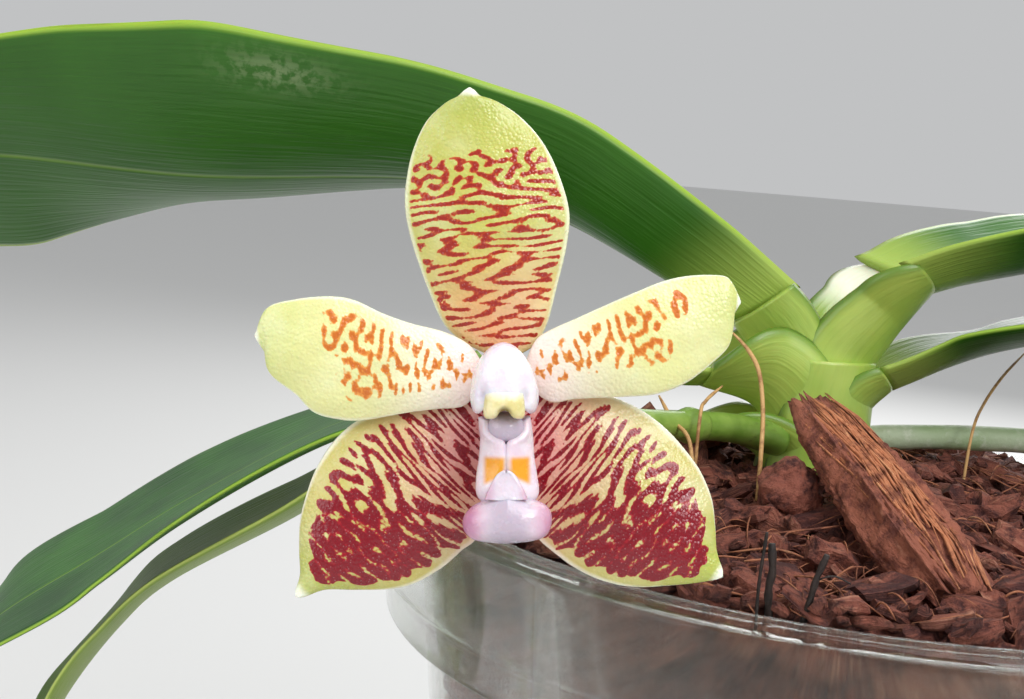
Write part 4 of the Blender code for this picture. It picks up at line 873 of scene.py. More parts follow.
def wall_root(start, turn, low):
    """Root path from the crown outward to the pot's wall, then down along it.

    At t along, it has turned by turn * t degrees from its start, and has come down from the
    crown by t^1.1 of the way to its low end. It reaches the wall before half its length.
    """
    t = np.linspace(0, 1, 60)
    z = 112 - (112 - low) * t ** 1.1
    middle = (1 - np.minimum(t * 2.2, 1)) ** 2.2
    reach = (pot_inside(z) - 0.3 - ROOT_RADIUS) * (1 - middle)
    angle = np.radians(start + turn * t)
    return np.stack([reach * np.cos(angle) - 6.0 * middle, reach * np.sin(angle) + 3.6 * middle, z], 1)


def root_skin(path, radii, sides, wide):
    """Rod along a path, its radius swollen and pinched by a twentieth of uneven waves."""
    rings = round_rings(path, radii, sides, wide)
    rings += (rings - path[:, None]) * (0.05 * ripples(rings, 9.0, 51))[..., None]
    return tubes(rings)


root_silver, tree, shader = surface_finish("root_silver", 0.6)
mottle = grain(tree, place(tree), 420, 5, 0.65)
damp = grain(tree, place(tree), 55, 2)
colour = tinted(tree, stepped(tree, damp, 0.4, 0.68), tint(176, 190, 158), tint(124, 158, 92))
colour = tinted(tree, stepped(tree, mottle, 0.5, 0.75), colour, tint(202, 208, 190))
stain = stepped(tree, grain(tree, place(tree), 150, 4, 0.7), 0.62, 0.8)
colour = tinted(tree, stain, colour, tint(136, 120, 84))
feed(tree, shader.inputs["Base Color"], colour)
feed(tree, shader.inputs["Roughness"], reckon(tree, "MULTIPLY_ADD", mottle, 0.3, 0.4))
bumped(tree, shader, mottle, 0.00025)
surface_root = through(SURFACE_ROOT, 90)
fat = np.interp(np.linspace(0, 14, 90), [0, 1, 11, 14], [1.0, 1.15, 1, 0.6]) * ROOT_RADIUS
skin = root_skin(surface_root, fat, 24, (0, 1, 0))
make_piece("root_on_bark", skin, root_silver, "root_upper", "root_silver")
crown_path = through(CROWN, 24)
crown_fat = np.interp(np.linspace(0, 2, 24), [0, 1, 2], [4.2, 4.4, 3.0])
branches = [root_skin(crown_path, crown_fat, 28, (1, 0, 0))]
fat = np.interp(np.linspace(0, 1, 60), [0, 0.94, 1], [1, 1, 0.45]) * ROOT_RADIUS
branches += [root_skin(wall_root(*way), fat, 18, (0, 0, 1)) for way in WALL_ROOTS]
make_piece("roots_in_pot", joined(*branches), root_silver, "roots_lower", "root_silver")


# Flower leaves. Three sepals and two petals of thick waxy tissue that glitters finely. Bars of
# red pigment grow across them and run together into blotches where the pigment is dense.

FLOWER_CENTRE = np.array([-55.7, -69.5, 150.8])
FLOWER_PITCH = math.radians(7.2)
FLOWER_ROLL = math.radians(4.8)
FLOWER_AXES = np.array([
    (math.cos(FLOWER_ROLL), math.sin(FLOWER_ROLL) * math.sin(FLOWER_PITCH),
     math.sin(FLOWER_ROLL) * math.cos(FLOWER_PITCH)),
    (-math.sin(FLOWER_ROLL), math.cos(FLOWER_ROLL) * math.sin(FLOWER_PITCH),
     math.cos(FLOWER_ROLL) * math.cos(FLOWER_PITCH)),
    (0.0, -math.cos(FLOWER_PITCH), math.sin(FLOWER_PITCH)),
])
TEPAL_THICKNESS = 1.1
CELL = 0.08
CANVAS = (500, 360)
CANVAS_FOOT = 20
CANVAS_MIDDLE = 180
NEAR_BLUR = 0.5053
FAR_BLUR = 1.7765


def placed(points):
    """Flower points, with x to the right as seen, y up and z to the viewer, in the plant's frame."""
    return np.asarray(points, float) @ FLOWER_AXES + FLOWER_CENTRE


def grown_bars(fine, coarse, coarse_share, seed, rounds=7):
    """Canvas of pigment, one value each CELL of length and breadth, from -1 bare to 1 full.

    From random specks, each round takes a near blur less a wider one and bends the result
    with tanh, as pigment cells draw in close neighbours and hold off those half a pitch away.
    The blurs are longer across the flower leaf than along it, which draws the cells into bars.
    Fine and coarse each give a pitch along and a reach across; their rounds are mixed by a
    share that changes over the canvas, so bars fork where one gives way to the other. The last
    round is left unbent, and a little fine noise frays every outline.
    """
    random = np.random.default_rng(seed)
    f, g = np.fft.fftfreq(CANVAS[0], CELL)[:, None], np.fft.fftfreq(CANVAS[1], CELL)[None]
    run = (np.arange(CANVAS[0])[:, None] - CANVAS_FOOT) * CELL
    cross = (np.arange(CANVAS[1])[None] - CANVAS_MIDDLE) * CELL
    mix = coarse_share(run + 0 * cross, cross + 0 * run)

    def drawn(field, pitch, reach):
        far = (f * pitch) ** 2 + (g * reach) ** 2
        kept_bands = np.exp(-NEAR_BLUR * far) - np.exp(-FAR_BLUR * far)
        part = np.fft.ifft2(np.fft.fft2(field) * kept_bands).real
        return part / part.std()

    field = random.normal(size=CANVAS)
    for _ in range(rounds):
        grown = drawn(field, *fine) * (1 - mix) + drawn(field, *coarse) * mix
        field = np.tanh(1.25 * grown)
    return 0.66 * grown + 0.24 * drawn(random.normal(size=CANVAS), 0.5, 0.6)


def sampled(canvas, run, cross):
    """Pigment at a length and breadth in millimetres, mixed from the four cells around."""
    rows, cols = run / CELL + CANVAS_FOOT, cross / CELL + CANVAS_MIDDLE
    i, j = np.floor(rows).astype(int), np.floor(cols).astype(int)
    f, g = rows - i, cols - j
    i, j = np.clip(i, 0, canvas.shape[0] - 2), np.clip(j, 0, canvas.shape[1] - 2)
    return ((canvas[i, j] * (1 - f) + canvas[i + 1, j] * f) * (1 - g)
            + (canvas[i, j + 1] * (1 - f) + canvas[i + 1, j + 1] * f) * g)


def tepal(name, node, slot, left, right, crown, material, marks, rows, across):
    """Flower leaf between two edge lines.

    Its surface is the straight mix of the edges at w across, raised by
    crown * sin(pi * s)^0.8 * (1 - v^2), where s is the share along and v = 2w - 1 runs from -1
    to 1 across, with a shallow groove on its midline. Marks gives the pigment at each point from
    the share along, v, the lengths along and across, and half the breadth.
    """
    first, second = through(left, rows), through(right, rows)
    w = np.linspace(0, 1, across)
    w = 0.72 * w + 0.28 * (0.5 - 0.5 * np.cos(math.pi * w))
    share = np.linspace(0, 1, rows)[:, None]
    grid = first[:, None] * (1 - w)[:, None] + second[:, None] * w[:, None]
    swell = np.sin(math.pi * np.clip(share * 0.95 + 0.05, 0, 1)) ** 0.8
    v = 2 * w - 1
    grid[..., 2] += crown * swell * (1 - v ** 2) - 0.04 * swell * np.exp(-(v / 0.07) ** 2)
    grid[..., 2] += 0.10 * swell * ripples(grid[..., :2], 5.0, 61)
    wide = np.linalg.norm(second - first, axis=1)[:, None]
    middle = (first + second) / 2
    run = np.concatenate([[0], np.cumsum(np.linalg.norm(np.diff(middle, axis=0), axis=1))])[:, None] + 0 * v
    cross = wide / 2 * v
    amount = marks(share + 0 * v, v + 0 * share, run, cross, wide / 2 + 0 * v)
    skin, values = blade(grid, TEPAL_THICKNESS * (1 - 0.35 * np.abs(v) ** 3), run, cross)
    points = placed(skin[0])
    amount = {key: both_faces(value) for key, value in amount.items()}
    return make_piece(name, (points, outward(points, skin[1])), material, node, slot,
                      share=both_faces(share + 0 * v), edge=both_faces(1 - np.abs(v) + 0 * share),
                      **values, **amount)


waxy_skin, given, taken = shared_group(
    "waxy_skin", [("Pimples", "Float")], [("Height", "Float"), ("Roughness", "Float"), ("PaintedGlint", "Float")])
cells = put(waxy_skin, "TexVoronoi", Vector=place(waxy_skin), Scale=given["Pimples"]).outputs["Distance"]
uneven = grain(waxy_skin, place(waxy_skin), 900, 2)
feed(waxy_skin, taken["Height"], reckon(waxy_skin, "MULTIPLY_ADD", cells, -0.7, uneven))
feed(waxy_skin, taken["Roughness"], reckon(waxy_skin, "MULTIPLY_ADD", uneven, 0.4, 0.03))
# The third output marks the middles of the cells, where small white glints are painted into the colour as
# highlights.
feed(waxy_skin, taken["PaintedGlint"], stepped(waxy_skin, cells, 0.28, 0.08))


def waxy(tree, shader, pimples, raise_by):
    """Fine round cells that raise a waxy surface and make it glitter, and a mask of painted white glints at
    their middles.
    """
    group = set_in(tree, waxy_skin)
    group.inputs["Pimples"].default_value = pimples
    feed(tree, shader.inputs["Roughness"], group.outputs["Roughness"])
    bumped(tree, shader, group.outputs["Height"], raise_by, 0.8)
    return group.outputs["PaintedGlint"]


def tepal_finish(name, ground, base, margin, pigment, deep, blush):
    """Flower leaf skin: a ground that pales to its base and margin, a blush, sharp pigment bars and small
    painted white glints.
    """
    made, tree, shader = surface_finish(name, 0.3, Coat_Weight=0.12, Coat_Roughness=0.1,
                                        Specular_IOR_Level=0.5,
                                        Subsurface_Weight=0.12, Subsurface_Scale=0.002)
    painted_glint = waxy(tree, shader, 2600.0, 0.00012)
    cloud = grain(tree, place(tree), 160, 3)
    colour = tinted(tree, stepped(tree, reading(tree, "share"), 0.52, 0.04), ground[0], base)
    colour = tinted(tree, stepped(tree, reading(tree, "share"), 0.62, 1.0), colour, ground[1])
    colour = washed(tree, colour, stepped(tree, cloud, 0.4, 0.7), 0.3, margin)
    colour = tinted(tree, stepped(tree, reading(tree, "edge"), 0.09, 0.02), colour, margin)
    colour = tinted(tree, stepped(tree, reading(tree, "share"), 0.955, 0.99), colour, tint(240, 242, 222))
    colour = tinted(tree, reading(tree, "blush"), colour, blush)
    fray = reckon(tree, "MULTIPLY_ADD", grain(tree, place(tree), 2600, 3, 0.6), 0.4, -0.2)
    mark = reckon(tree, "MULTIPLY_ADD", reckon(tree, "ADD", reading(tree, "mark"), fray), 2.6, 0.5,
                  clamp=True)
    seen = reckon(tree, "MULTIPLY_ADD", reading(tree, "front"), 0.65, 0.35)
    bars = tinted(tree, stepped(tree, reading(tree, "mark"), 0.15, 0.8), pigment, deep)
    colour = washed(tree, colour, mark, seen, bars)
    # Painted highlight: small white glints laid into the colour at the middles of the waxy cells.
    colour = washed(tree, colour, painted_glint, 0.10, (1, 1, 1, 1))
    feed(tree, shader.inputs["Base Color"], colour)
    return made


def kept(field, bias, keep):
    """Pigment inside the part of a flower leaf that is marked, and none outside it."""
    return np.clip(field + bias, -1.2, 1.2) * keep - 1.3 * (1 - keep)


def dorsal_marks(share, v, run, cross, half):
    """Brick-red bars over the lower two thirds, broken into rings and knots at their upper limit."""
    field = sampled(dorsal_bars, run, cross)
    limit = 0.705 + 0.022 * ripples(cross[..., None], 3.2, 72)
    keep = (1 - rise(share, limit - 0.015, limit + 0.015)) * rise(half - np.abs(cross), 0.25, 0.9)
    bias = -0.26 + 0.28 * rise(share, 0.45, 0.62) - 0.10 * rise(share, 0.30, 0.05)
    blush = 0.6 * rise(share, 0.50, 0.08) * rise(half - np.abs(cross), 0.3, 3.5)
    return {"mark": kept(field, bias, keep), "blush": blush}


def petal_marks(upper, knot):
    """Rust-orange bars over the inner part, thickening to knotted blotches at their outer limit.

    Upper is the sign of v toward the upper margin; knot adds one blotch that stands alone.
    """
    def marks(share, v, run, cross, half):
        v = v * upper
        field = sampled(petal_bars, run, cross * upper)
        limit = 0.60 + 0.03 * ripples(cross[..., None], 3.0, 75) + 0.13 * v * (1 - knot)
        lower_gap = 1.5 + 1.0 * knot * rise(share, 0.15, 0.4)
        margin = np.where(v > 0, rise(half - np.abs(cross), 0.9, 1.9),
                          rise(half - np.abs(cross), lower_gap, lower_gap + 1.2))
        keep = (1 - rise(share, limit - 0.02, limit + 0.02)) * margin
        alone = knot * rise(1 - np.hypot((share - 0.675) / 0.048, (v - 0.46) / 0.34), 0.0, 0.3)
        limit = limit - 0.10 * knot * rise(v, -0.1, 0.3)
        bias = -0.26 + 0.34 * rise(share, 0.34, 0.55) - 0.2 * rise(share, 0.22, 0.02) + 0.45 * alone
        mark = kept(field, bias, np.maximum(keep, alone))
        return {"mark": mark, "blush": 0.4 * rise(share, 0.28, 0.02)}
    return marks


def lateral_marks(outer):
    """Crimson bars, fine and close by the lip, that fork, widen and run together toward the tip."""
    def marks(share, v, run, cross, half):
        v = v * outer
        field = sampled(lateral_bars, run, cross * outer)
        keep = 1 - rise(share + 0.05 * v ** 2 + 0.012 * ripples(cross[..., None], 2.2, 81), 0.90, 0.93)
        fringe = 0.35 * ripples(run[..., None], 2.4, 82)
        gap = 1.5 + 0.4 * rise(share, 0.1, 0.6) - 0.9 * rise(share, 0.18, 0.0) + fringe
        inner = 0.2 + 1.1 * rise(share, 0.35, 0.55) + fringe
        margin = np.where(v > 0, rise(half - np.abs(cross), gap - 0.5, gap + 0.4),
                          rise(half - np.abs(cross), inner - 0.3, inner + 0.4))
        bias = 0.06 + 1.04 * rise(share - 0.16 * v, 0.40, 0.70) - 0.16 * rise(v, 0.2, 0.9)
        blush = 0.85 * rise(share, 0.66, 0.15) * rise(-v, -0.7, 0.3)
        return {"mark": kept(field, bias, keep * margin), "blush": blush}
    return marks


dorsal_bars = grown_bars((0.80, 3.6), (1.05, 1.5), lambda run, cross: rise(run, 15.5, 19.0), 7)
petal_bars = grown_bars((0.95, 2.5), (1.2, 1.6), lambda run, cross: 0.9 * rise(run, 8.0, 12.5), 8)
lateral_bars = grown_bars((0.52, 4.6), (1.05, 2.6), lambda run, cross: np.clip(
    rise(run, 9.0, 20.0) + 0.7 * rise(cross, 0.0, 8.0), 0, 1), 9)

dorsal_skin = tepal_finish("dorsal_skin", (tint(192, 192, 96), tint(170, 180, 84)), tint(230, 196, 138),
                           tint(234, 236, 200), tint(186, 72, 30), tint(154, 32, 18), tint(216, 132, 96))
petal_skin = tepal_finish("petal_skin", (tint(222, 222, 154), tint(200, 208, 124)), tint(244, 234, 222),
                          tint(238, 240, 208), tint(222, 150, 66), tint(200, 108, 34), tint(240, 200, 200))
lateral_skin = tepal_finish("lateral_skin", (tint(192, 182, 100), tint(172, 182, 84)), tint(226, 176, 160),
                            tint(236, 232, 206), tint(158, 12, 30), tint(126, 0, 22), tint(216, 138, 138))

tepal("dorsal_sepal_waxy", "sepal_dorsal", "sepal_yellow",
      [(1.5, 1.9, -3.4), (3.4, 3.0, -3.2), (4.7, 5.2, -3.0), (5.7, 9.0, -2.4), (6.7, 13.2, -1.7),
       (7.0, 16.9, -1.2), (5.9, 20.8, -0.9), (4.3, 24.1, -0.7), (2.0, 26.7, -0.5),
       (-0.2, 28.2, -0.3), (-2.3, 28.9, -0.2), (-3.2, 29.8, 0)],
      [(-1.5, 1.9, -3.4), (-4.6, 3.4, -3.2), (-6.6, 5.4, -3.0), (-8.4, 9.6, -2.4), (-9.9, 14.2, -1.6),
       (-10.5, 17.8, -1.1), (-10.2, 21.0, -0.8), (-9.5, 23.7, -0.7), (-8.2, 26.4, -0.6),
       (-6.4, 28.1, -0.4), (-4.9, 28.9, -0.2), (-3.9, 29.8, 0)],
      1.3, dorsal_skin, dorsal_marks, 270, 96)
tepal("left_petal_waxy", "petal_left", "petal_cream",
      [(-2.7, 1.3, -2.0), (-3.9, 3.0, -1.6), (-6.5, 4.3, -1.2), (-9.7, 5.1, -0.9), (-12.8, 6.2, -0.7),
       (-15.8, 7.6, -0.6), (-18.4, 8.0, -0.6), (-22.0, 7.7, -0.8), (-25.0, 6.8, -1.1),
       (-26.1, 4.2, -1.3)],
      [(-2.7, -1.4, -2.0), (-4.2, -3.6, -1.7), (-7.4, -4.0, -1.5), (-10.4, -4.4, -1.3),
       (-15.0, -5.2, -1.2), (-18.0, -5.0, -1.2), (-20.2, -4.3, -1.2), (-22.0, -2.5, -1.2),
       (-24.6, -0.4, -1.2), (-24.9, 1.5, -1.2), (-26.1, 3.4, -1.3)],
      1.0, petal_skin, petal_marks(-1, 0.0), 200, 76)
tepal("right_petal_waxy", "petal_right", "petal_cream",
      [(2.7, -1.4, -2.0), (5.0, -3.2, -1.7), (7.8, -2.9, -1.5), (12.3, -2.7, -1.3),
       (16.1, -2.4, -1.2), (19.2, -1.3, -1.2), (21.9, 0.7, -1.2), (23.9, 2.8, -1.2),
       (24.1, 5.6, -1.2), (24.8, 7.0, -1.3)],
      [(2.7, 1.3, -2.0), (3.4, 3.2, -1.6), (4.5, 4.2, -1.4), (7.8, 5.7, -1.0), (10.9, 7.1, -0.8),
       (13.9, 8.4, -0.6), (16.9, 9.6, -0.6), (19.9, 10.2, -0.8), (23.0, 10.2, -1.0),
       (24.0, 9.6, -1.1), (24.9, 7.8, -1.3)],
      1.0, petal_skin, petal_marks(1, 1.0), 200, 76)
tepal("left_sepal_waxy", "sepal_left", "sepal_crimson",
      [(-2.4, -2.4, -3.9), (-7.0, -2.8, -4.0), (-12.0, -3.6, -3.8), (-15.4, -5.1, -3.5),
       (-17.2, -6.4, -3.1), (-18.8, -8.2, -2.8), (-20.2, -10.6, -2.5), (-21.1, -13.2, -2.2),
       (-21.7, -16.0, -2.0), (-21.7, -19.0, -1.8), (-21.5, -21.6, -1.6), (-22.1, -23.5, -1.4)],
      [(-0.9, -3.6, -3.9), (-1.5, -8.0, -3.4), (-2.0, -13.0, -2.9), (-2.8, -17.6, -2.5),
       (-4.5, -19.2, -2.3), (-6.6, -21.0, -2.2), (-9.4, -22.6, -2.1), (-12.1, -23.2, -2.0),
       (-15.6, -23.2, -1.9), (-19.0, -23.1, -1.7), (-21.7, -24.0, -1.4)],
      1.9, lateral_skin, lateral_marks(-1), 290, 100)
tepal("right_sepal_waxy", "sepal_right", "sepal_crimson",
      [(0.9, -3.6, -3.9), (1.6, -8.0, -3.4), (2.3, -13.4, -2.9), (3.2, -17.2, -2.5),
       (5.9, -19.8, -2.3), (8.7, -21.6, -2.2), (11.4, -22.6, -2.1), (14.2, -23.0, -2.0),
       (17.0, -22.8, -1.9), (19.8, -22.5, -1.7), (22.9, -21.9, -1.4)],
      [(2.4, -2.4, -3.9), (6.5, -2.2, -4.0), (11.0, -2.6, -3.8), (13.6, -3.5, -3.5),
       (15.8, -4.8, -3.2), (17.8, -6.5, -2.9), (19.8, -8.8, -2.6), (21.2, -10.9, -2.4),
       (22.2, -13.5, -2.2), (22.5, -16.2, -2.0), (22.6, -19.0, -1.8), (23.3, -21.4, -1.4)],
      1.9, lateral_skin, lateral_marks(1), 290, 100)


# Column and cap. The column is a thick white dome with a rounded wing at each side; the pale
# yellow cap over its pollen sits in a hollow at its front.

DOME_OUTLINE = [
    (3.6, -1.9), (3.35, -0.7), (3.0, 0.3), (2.5, 1.2), (1.85, 2.1), (1.0, 2.8), (0, 3.1), (-1.0, 2.8),
    (-1.85, 2.1), (-2.5, 1.2), (-2.95, 0.3), (-3.2, -0.7), (-3.35, -1.9), (-3.3, -3.1), (-3.0, -4.0),
    (-2.5, -4.2), (-2.1, -3.9), (-1.4, -3.7), (0.1, -3.6), (1.6, -3.7), (2.3, -3.9), (2.75, -4.2),
    (3.25, -4.0), (3.6, -3.1), (3.6, -1.9),
]
CAP_OUTLINE = [
    (2.15, -2.9), (1.95, -1.9), (1.35, -1.35), (0.1, -1.2), (-1.1, -1.35), (-1.65, -1.9), (-1.9, -2.9),
    (-1.95, -4.0), (-1.75, -4.5), (-1.2, -4.6), (-0.7, -4.45), (-0.35, -4.0), (0.15, -3.8),
    (0.65, -4.0), (1.0, -4.45), (1.5, -4.6), (2.0, -4.5), (2.2, -4.0), (2.15, -2.9),
]


def cushion(outline, stations, rows=60, sides=96):
    """Closed soft body: at each station, given as height, scale and drop, the outline is scaled
    about its middle, lowered by the drop and set at that height."""
    ring = through([(*p, 0.0) for p in outline], sides + 1)[:-1]
    middle = ring.mean(0)
    height, scale, drop = through(stations, rows).T[:, :, None, None]
    return tubes((ring - middle) * scale + middle + height * (0, 0, 1.0) - drop * (0, 1.0, 0))


dome = cushion(DOME_OUTLINE, [
    (-0.9, 0.72, 0.1), (0.6, 0.82, 0.06), (2.4, 0.94, 0.02), (4.2, 1.0, 0), (5.8, 0.98, 0),
    (7.0, 0.88, 0.05), (7.9, 0.68, 0.15), (8.45, 0.42, 0.25), (8.7, 0.12, 0.3)])
x, y, z = dome[0].T
shadow = np.exp(-((np.abs(x - 0.12) - 2.1) / 0.42) ** 2 - ((y + 2.3) / 0.9) ** 2) * rise(z, 4.5, 6.5)
dome[0][:, 2] -= 0.5 * shadow

column_white, tree, shader = surface_finish("column_white", 0.3, Coat_Weight=0.25, Coat_Roughness=0.15,
                                            Subsurface_Weight=0.3, Subsurface_Scale=0.003)
waxy(tree, shader, 2200.0, 0.00008)
cloud = grain(tree, place(tree), 240, 2)
colour = tinted(tree, stepped(tree, cloud, 0.4, 0.7), tint(240, 234, 240), tint(228, 214, 230))
colour = washed(tree, colour, reading(tree, "shadow"), 0.55, tint(188, 176, 192))
feed(tree, shader.inputs["Base Color"], colour)
dome_skin = placed(dome[0]), outward(*dome)
make_piece("column_dome", dome_skin, column_white, "column", "column_white", shadow=shadow)

cap = cushion(CAP_OUTLINE, [
    (5.9, 0.7, 0), (6.6, 0.92, 0), (7.4, 1.0, 0), (8.2, 0.98, 0), (8.75, 0.84, 0.02),
    (9.05, 0.6, 0.05), (9.2, 0.3, 0.06), (9.25, 0.1, 0.06)])
x, y, z = cap[0].T
notch = np.exp(-((x - 0.15) / 0.75) ** 4 - ((y + 3.7 + 0.7 * (x - 0.15) ** 2) / 0.36) ** 2) * (z > 7)
cap[0][:, 2] -= 0.35 * notch + 0.55 * rise(y, -2.9, -1.3) * rise(z, 7.5, 8.6)
cap_yellow, tree, shader = surface_finish("cap_yellow", 0.4, Subsurface_Weight=0.2, Subsurface_Scale=0.002)
waxy(tree, shader, 2200.0, 0.00008)
cloud = grain(tree, place(tree), 500, 3)
colour = tinted(tree, stepped(tree, cloud, 0.35, 0.7), tint(232, 222, 172), tint(214, 202, 134))
colour = tinted(tree, reading(tree, "crown"), colour, tint(240, 236, 230))
# Painted shade: the dented notch at the cap's lower edge is darkened to olive.
colour = tinted(tree, reading(tree, "notch"), colour, tint(142, 122, 60))
feed(tree, shader.inputs["Base Color"], colour)
make_piece("pollen_cap", (placed(cap[0]), outward(*cap)), cap_yellow, "anther_cap", "cap_yellow",
           crown=rise(y, -2.9, -1.6), notch=notch)


# Lip. A stiff spine under the column carries two erect side lobes that almost meet in front,
# a small pouched callus between them, and a keeled fleshy pad at its end.


def lobe(side, breadths):
    """Erect side lobe: rows from its back edge through a bulge to its curled front edge. Side is
    -1 or 1, and breadths are how far the bulge stands off the middle from the top down."""
    rows, across = 60, 30
    back = through([(0.7, -4.7, 2.0), (0.7, -8, 2.4), (0.8, -11, 3.0), (1.0, -13.2, 3.6)], rows)
    outer = through(np.column_stack([breadths, (-4.5, -6.6, -8.7, -10.8, -12.3, -13.0),
                                     (4.3, 4.5, 4.8, 5.0, 5.1, 5.1)]), rows)
    front = through([(1.75, -4.9, 6.0), (1.7, -6.0, 6.5), (1.0, -6.6, 6.9), (0.15, -6.95, 7.1),
                     (-0.02, -7.6, 7.15), (-0.14, -8.6, 7.2), (-0.1, -9.6, 7.15), (0.35, -10.6, 7.1),
                     (1.0, -11.6, 7.0), (1.6, -12.9, 6.6)], rows)
    w = np.linspace(0, 1, across)[:, None]
    grid = (back[:, None] * (1 - w) ** 2 + (2 * outer - (back + front) / 2)[:, None] * 2 * w * (1 - w)
            + front[:, None] * w ** 2)
    grid[..., 0] = grid[..., 0] * side + 0.3
    run = np.broadcast_to(np.linspace(0, 1, rows)[:, None], grid.shape[:2])
    return blade(grid, 0.95, run, np.broadcast_to(w[:, 0], grid.shape[:2]))


def tent():
    """Small raised tent under the lobes: from its rounded peak both sides run down and out to a
    lifted rim. At u across and t down it stands at 2.2 * u * t^0.45 across and 2.8 * t down."""
    t, u = np.linspace(0.01, 1, 34)[:, None] ** 1.6, np.linspace(-1, 1, 31)[None]
    grid = np.stack([0.3 + 2.2 * u * t ** 0.45, -10.0 - 2.8 * t + 0.12 * u ** 2 * t,
                     7.2 + 0.5 * t * (1 - u ** 2) + 0.3 * np.abs(u) ** 5], -1)
    return blade(grid, 0.5, t + 0 * u, u + 0 * t)[0]


PAD_OUTLINE = [
    (0.4, -11.7), (1.5, -12.15), (3.0, -12.8), (4.2, -13.3), (4.85, -14.2), (4.85, -15.5), (4.3, -16.5),
    (2.9, -17.0), (0.4, -17.25), (-1.9, -17.1), (-3.3, -16.7), (-4.0, -15.8), (-4.0, -14.6),
    (-3.2, -13.6), (-1.9, -12.85), (-0.7, -12.15), (0.4, -11.7),
]
spine_path = through([(0.25, -3.8, 1.2), (0.25, -7, 1.8), (0.25, -10.5, 2.6), (0.25, -13.8, 3.8)], 30)
spine_fat = np.interp(np.linspace(0, 3, 30), [0, 1, 2, 3], [1.0, 1.3, 1.4, 1.3])
spine = tubes(round_rings(spine_path, spine_fat, 24, (1.0, 0, 0)))
pad = cushion(PAD_OUTLINE, [
    (2.6, 0.45, -0.5), (3.4, 0.75, -0.3), (4.8, 0.96, 0), (6.2, 1.0, 0), (7.3, 0.9, 0.05),
    (8.1, 0.68, 0.1), (8.55, 0.38, 0.15), (8.7, 0.1, 0.2)])
front_tent = tent()
lobes = [lobe(-1, (2.3, 2.2, 2.3, 2.6, 2.55, 1.9))[0], lobe(1, (1.9, 2.3, 2.4, 2.75, 2.85, 2.2))[0]]
lip_skin = joined((spine[0], outward(*spine)), *lobes, front_tent, (pad[0], outward(*pad)))
local = lip_skin[0]
x, y, z = local.T
order = np.arange(len(local))
is_pad = (order >= len(local) - len(pad[0])).astype(float)
is_tent = ((order >= len(local) - len(pad[0]) - len(front_tent[0])) & (is_pad == 0)).astype(float)
off = np.abs(x - 0.4)
patch = rise(off, 0.1, 0.5) * rise(-off, -2.6, -2.0) * rise(y + 0.5 * off, -10.4, -9.8) * rise(-y, 8.2, 8.8)
patch = patch * rise(z, 5.2, 5.9) * (1 - is_pad) * (1 - is_tent)
lilac = is_pad * np.exp(-((x - 0.5) / 2.6) ** 4) + 0.3 * is_tent + 0.25 * (1 - is_pad) * rise(y, -8.2, -5.5)
magenta = is_pad * (0.75 * rise(-x, 0.9, 3.4) + 0.6 * rise(x, 2.2, 4.4)) + 0.6 * is_tent * rise(off, 0.9, 2.0)
lip_mauve, tree, shader = surface_finish("lip_mauve", 0.32, Coat_Weight=0.3, Coat_Roughness=0.15,
                                         Subsurface_Weight=0.25, Subsurface_Scale=0.002)
waxy(tree, shader, 2200.0, 0.00006)
cloud = grain(tree, place(tree), 300, 2)
colour = tinted(tree, stepped(tree, cloud, 0.35, 0.75), tint(238, 222, 230), tint(224, 200, 214))
colour = tinted(tree, reading(tree, "magenta"), colour, tint(178, 86, 138))
colour = tinted(tree, reading(tree, "lilac"), colour, tint(188, 174, 190))
colour = tinted(tree, reading(tree, "patch"), colour, tint(232, 156, 26))
feed(tree, shader.inputs["Base Color"], colour)
make_piece("lip_lobes", (placed(local), lip_skin[1]), lip_mauve, "lip", "lip_mauve",
           patch=patch, magenta=magenta, lilac=lilac)
callus = lump((0.28, -5.6, 5.5), (1.95, 1.65, 1.95))
make_piece("lip_pouch", (placed(callus[0]), callus[1]), lip_mauve, "lip_callus", "lip_mauve",
           patch=0.0, magenta=0.18, lilac=1.2)


# Flowering stalk. A green spike from the side of the stem to the back of the flower, with three
# bracts and a blind tip; the flower hangs on its own short stalk, which swells at the flower.

SPIKE = [(-13.4, -3.2, 134.4), (-22, -10, 136.8), (-33.6, -22.6, 138.6), (-44, -36, 141),
         (-51, -45.5, 143.6), (-56.5, -49, 146.5), (-59.5, -50, 150)]
BRACTS = ((4, 8.0), (9, 6.5), (12, 5.0))

spike_coarse = through(SPIKE, 16)
spike_path = through(SPIKE, 120)
spike_fat = np.interp(np.linspace(0, 15, 120), [0, 2, 10, 14, 15], [2.5, 2.2, 1.8, 1.3, 0.5])
skins = [tubes(round_rings(spike_path, spike_fat, 24))]
for at, length in BRACTS:
    start = spike_coarse[at]
    ahead = unit(spike_coarse[at + 1] - spike_coarse[at])
    bract = through([start, start + ahead * length * 0.4, start + ahead * length * 0.8,
                     start + ahead * length + (0, 0, 0.9)], 24)
    bract_fat = np.interp(np.linspace(0, 3, 24), [0, 1, 2, 3], [2.25, 2.7, 1.9, 0.5])
    skins.append(tubes(round_rings(bract, bract_fat, 20)))
stalk_path = through([placed((0, -0.8, -1.3)), placed((0, -0.8, -5.0)), placed((0.6, -1.4, -9.5)),
                      placed((2.0, -2.6, -14.0)), (-51.4, -49.2, 146.6)], 70)
stalk_fat = np.interp(np.linspace(0, 11, 70), [0, 2, 4, 9, 11], [2.3, 2.3, 1.7, 1.2, 1.4])
stalk = tubes(round_rings(stalk_path, stalk_fat, 24))

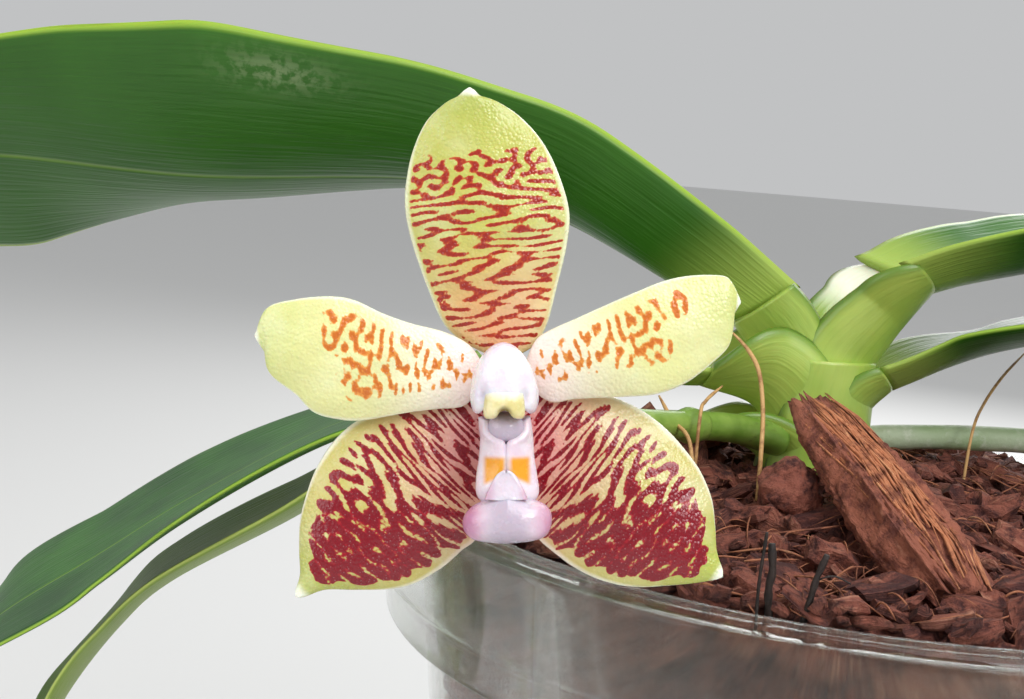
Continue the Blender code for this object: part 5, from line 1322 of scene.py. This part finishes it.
spike_green, tree, shader = surface_finish("spike_green", 0.4, Coat_Weight=0.15, Coat_Roughness=0.2)
cloud = grain(tree, place(tree), 120, 4)
streak = grain(tree, put(tree, "Mapping", Vector=place(tree), Scale=(300, 300, 900)).outputs[0], 1.0, 3)
colour = tinted(tree, stepped(tree, cloud, 0.35, 0.7), tint(104, 140, 48), tint(140, 168, 76))
colour = tinted(tree, stepped(tree, streak, 0.6, 0.8), colour, tint(92, 104, 48))
feed(tree, shader.inputs["Base Color"], colour)
feed(tree, shader.inputs["Roughness"], reckon(tree, "MULTIPLY_ADD", cloud, 0.3, 0.26))
bumped(tree, shader, streak, 0.0001)
make_piece("spike_round", joined(*skins), spike_green, "flower_spike", "spike_green")
make_piece("flower_stalk_round", stalk, spike_green, "flower_stalk", "spike_green")


# Stage. A pale floor and soft light from large panels, seen from where the picture was taken.
# Each panel has a place, the point it faces, a width and a strength, in metres and watts.

FLOOR_REACH = 90
PLANT_MIDDLE = (-0.03, 0, 0.13)
FLOWER_MIDDLE = (-0.05, -0.06, 0.15)
PANELS = [("panel_above", (0.25, -0.45, 0.95), PLANT_MIDDLE, 0.7, 6.5),
          ("panel_left", (-0.9, -0.55, 0.45), PLANT_MIDDLE, 0.7, 3),
          ("panel_behind", (0.35, 0.8, 0.6), PLANT_MIDDLE, 0.6, 5),
          ("panel_right", (0.30, -0.62, 0.52), FLOWER_MIDDLE, 0.2, 1.5)]
CAMERA_PLACE = (-0.055, -0.218, 0.172)


def standing(right, up, back, spot):
    """The matrix of a thing at a spot whose own axes point right, up and back."""
    return Matrix([[right[k], up[k], back[k], spot[k]] for k in range(3)] + [[0, 0, 0, 1]])


floor_mesh = bpy.data.meshes.new("floor")
floor_corners = [(FLOOR_REACH * x, FLOOR_REACH * y, 0) for x, y in ((-1, -1), (1, -1), (1, 1), (-1, 1))]
floor_mesh.from_pydata(floor_corners, [], [(0, 1, 2, 3)])
floor = bpy.data.objects.new("floor", floor_mesh)
bpy.context.scene.collection.objects.link(floor)
floor_pale, tree, shader = surface_finish("floor_pale", 0.7)
shader.inputs["Base Color"].default_value = (0.68, 0.68, 0.67, 1)
floor_mesh.materials.append(floor_pale)
for name, spot, aim, size, power in PANELS:
    lamp = bpy.data.lights.new(name, "AREA")
    lamp.size = size
    lamp.energy = power
    panel = bpy.data.objects.new(name, lamp)
    bpy.context.scene.collection.objects.link(panel)
    back = unit(np.array(spot) - np.array(aim))
    right = unit(np.cross((0, 0, 1.0), back))
    panel.matrix_world = standing(right, np.cross(back, right), back, spot)
world = bpy.data.worlds.new("studio")
bpy.context.scene.world = world
world.use_nodes = True
world.node_tree.nodes["Background"].inputs["Color"].default_value = (0.86, 0.87, 0.88, 1)
world.node_tree.nodes["Background"].inputs["Strength"].default_value = 0.62

lens = bpy.data.cameras.new("camera")
lens.lens = 50
lens.sensor_width = 36
lens.clip_start = 0.01
camera = bpy.data.objects.new("camera", lens)
bpy.context.scene.collection.objects.link(camera)
camera.matrix_world = standing(*FLOWER_AXES, CAMERA_PLACE)
bpy.context.scene.camera = camera
bpy.context.scene.view_settings.view_transform = "Standard"
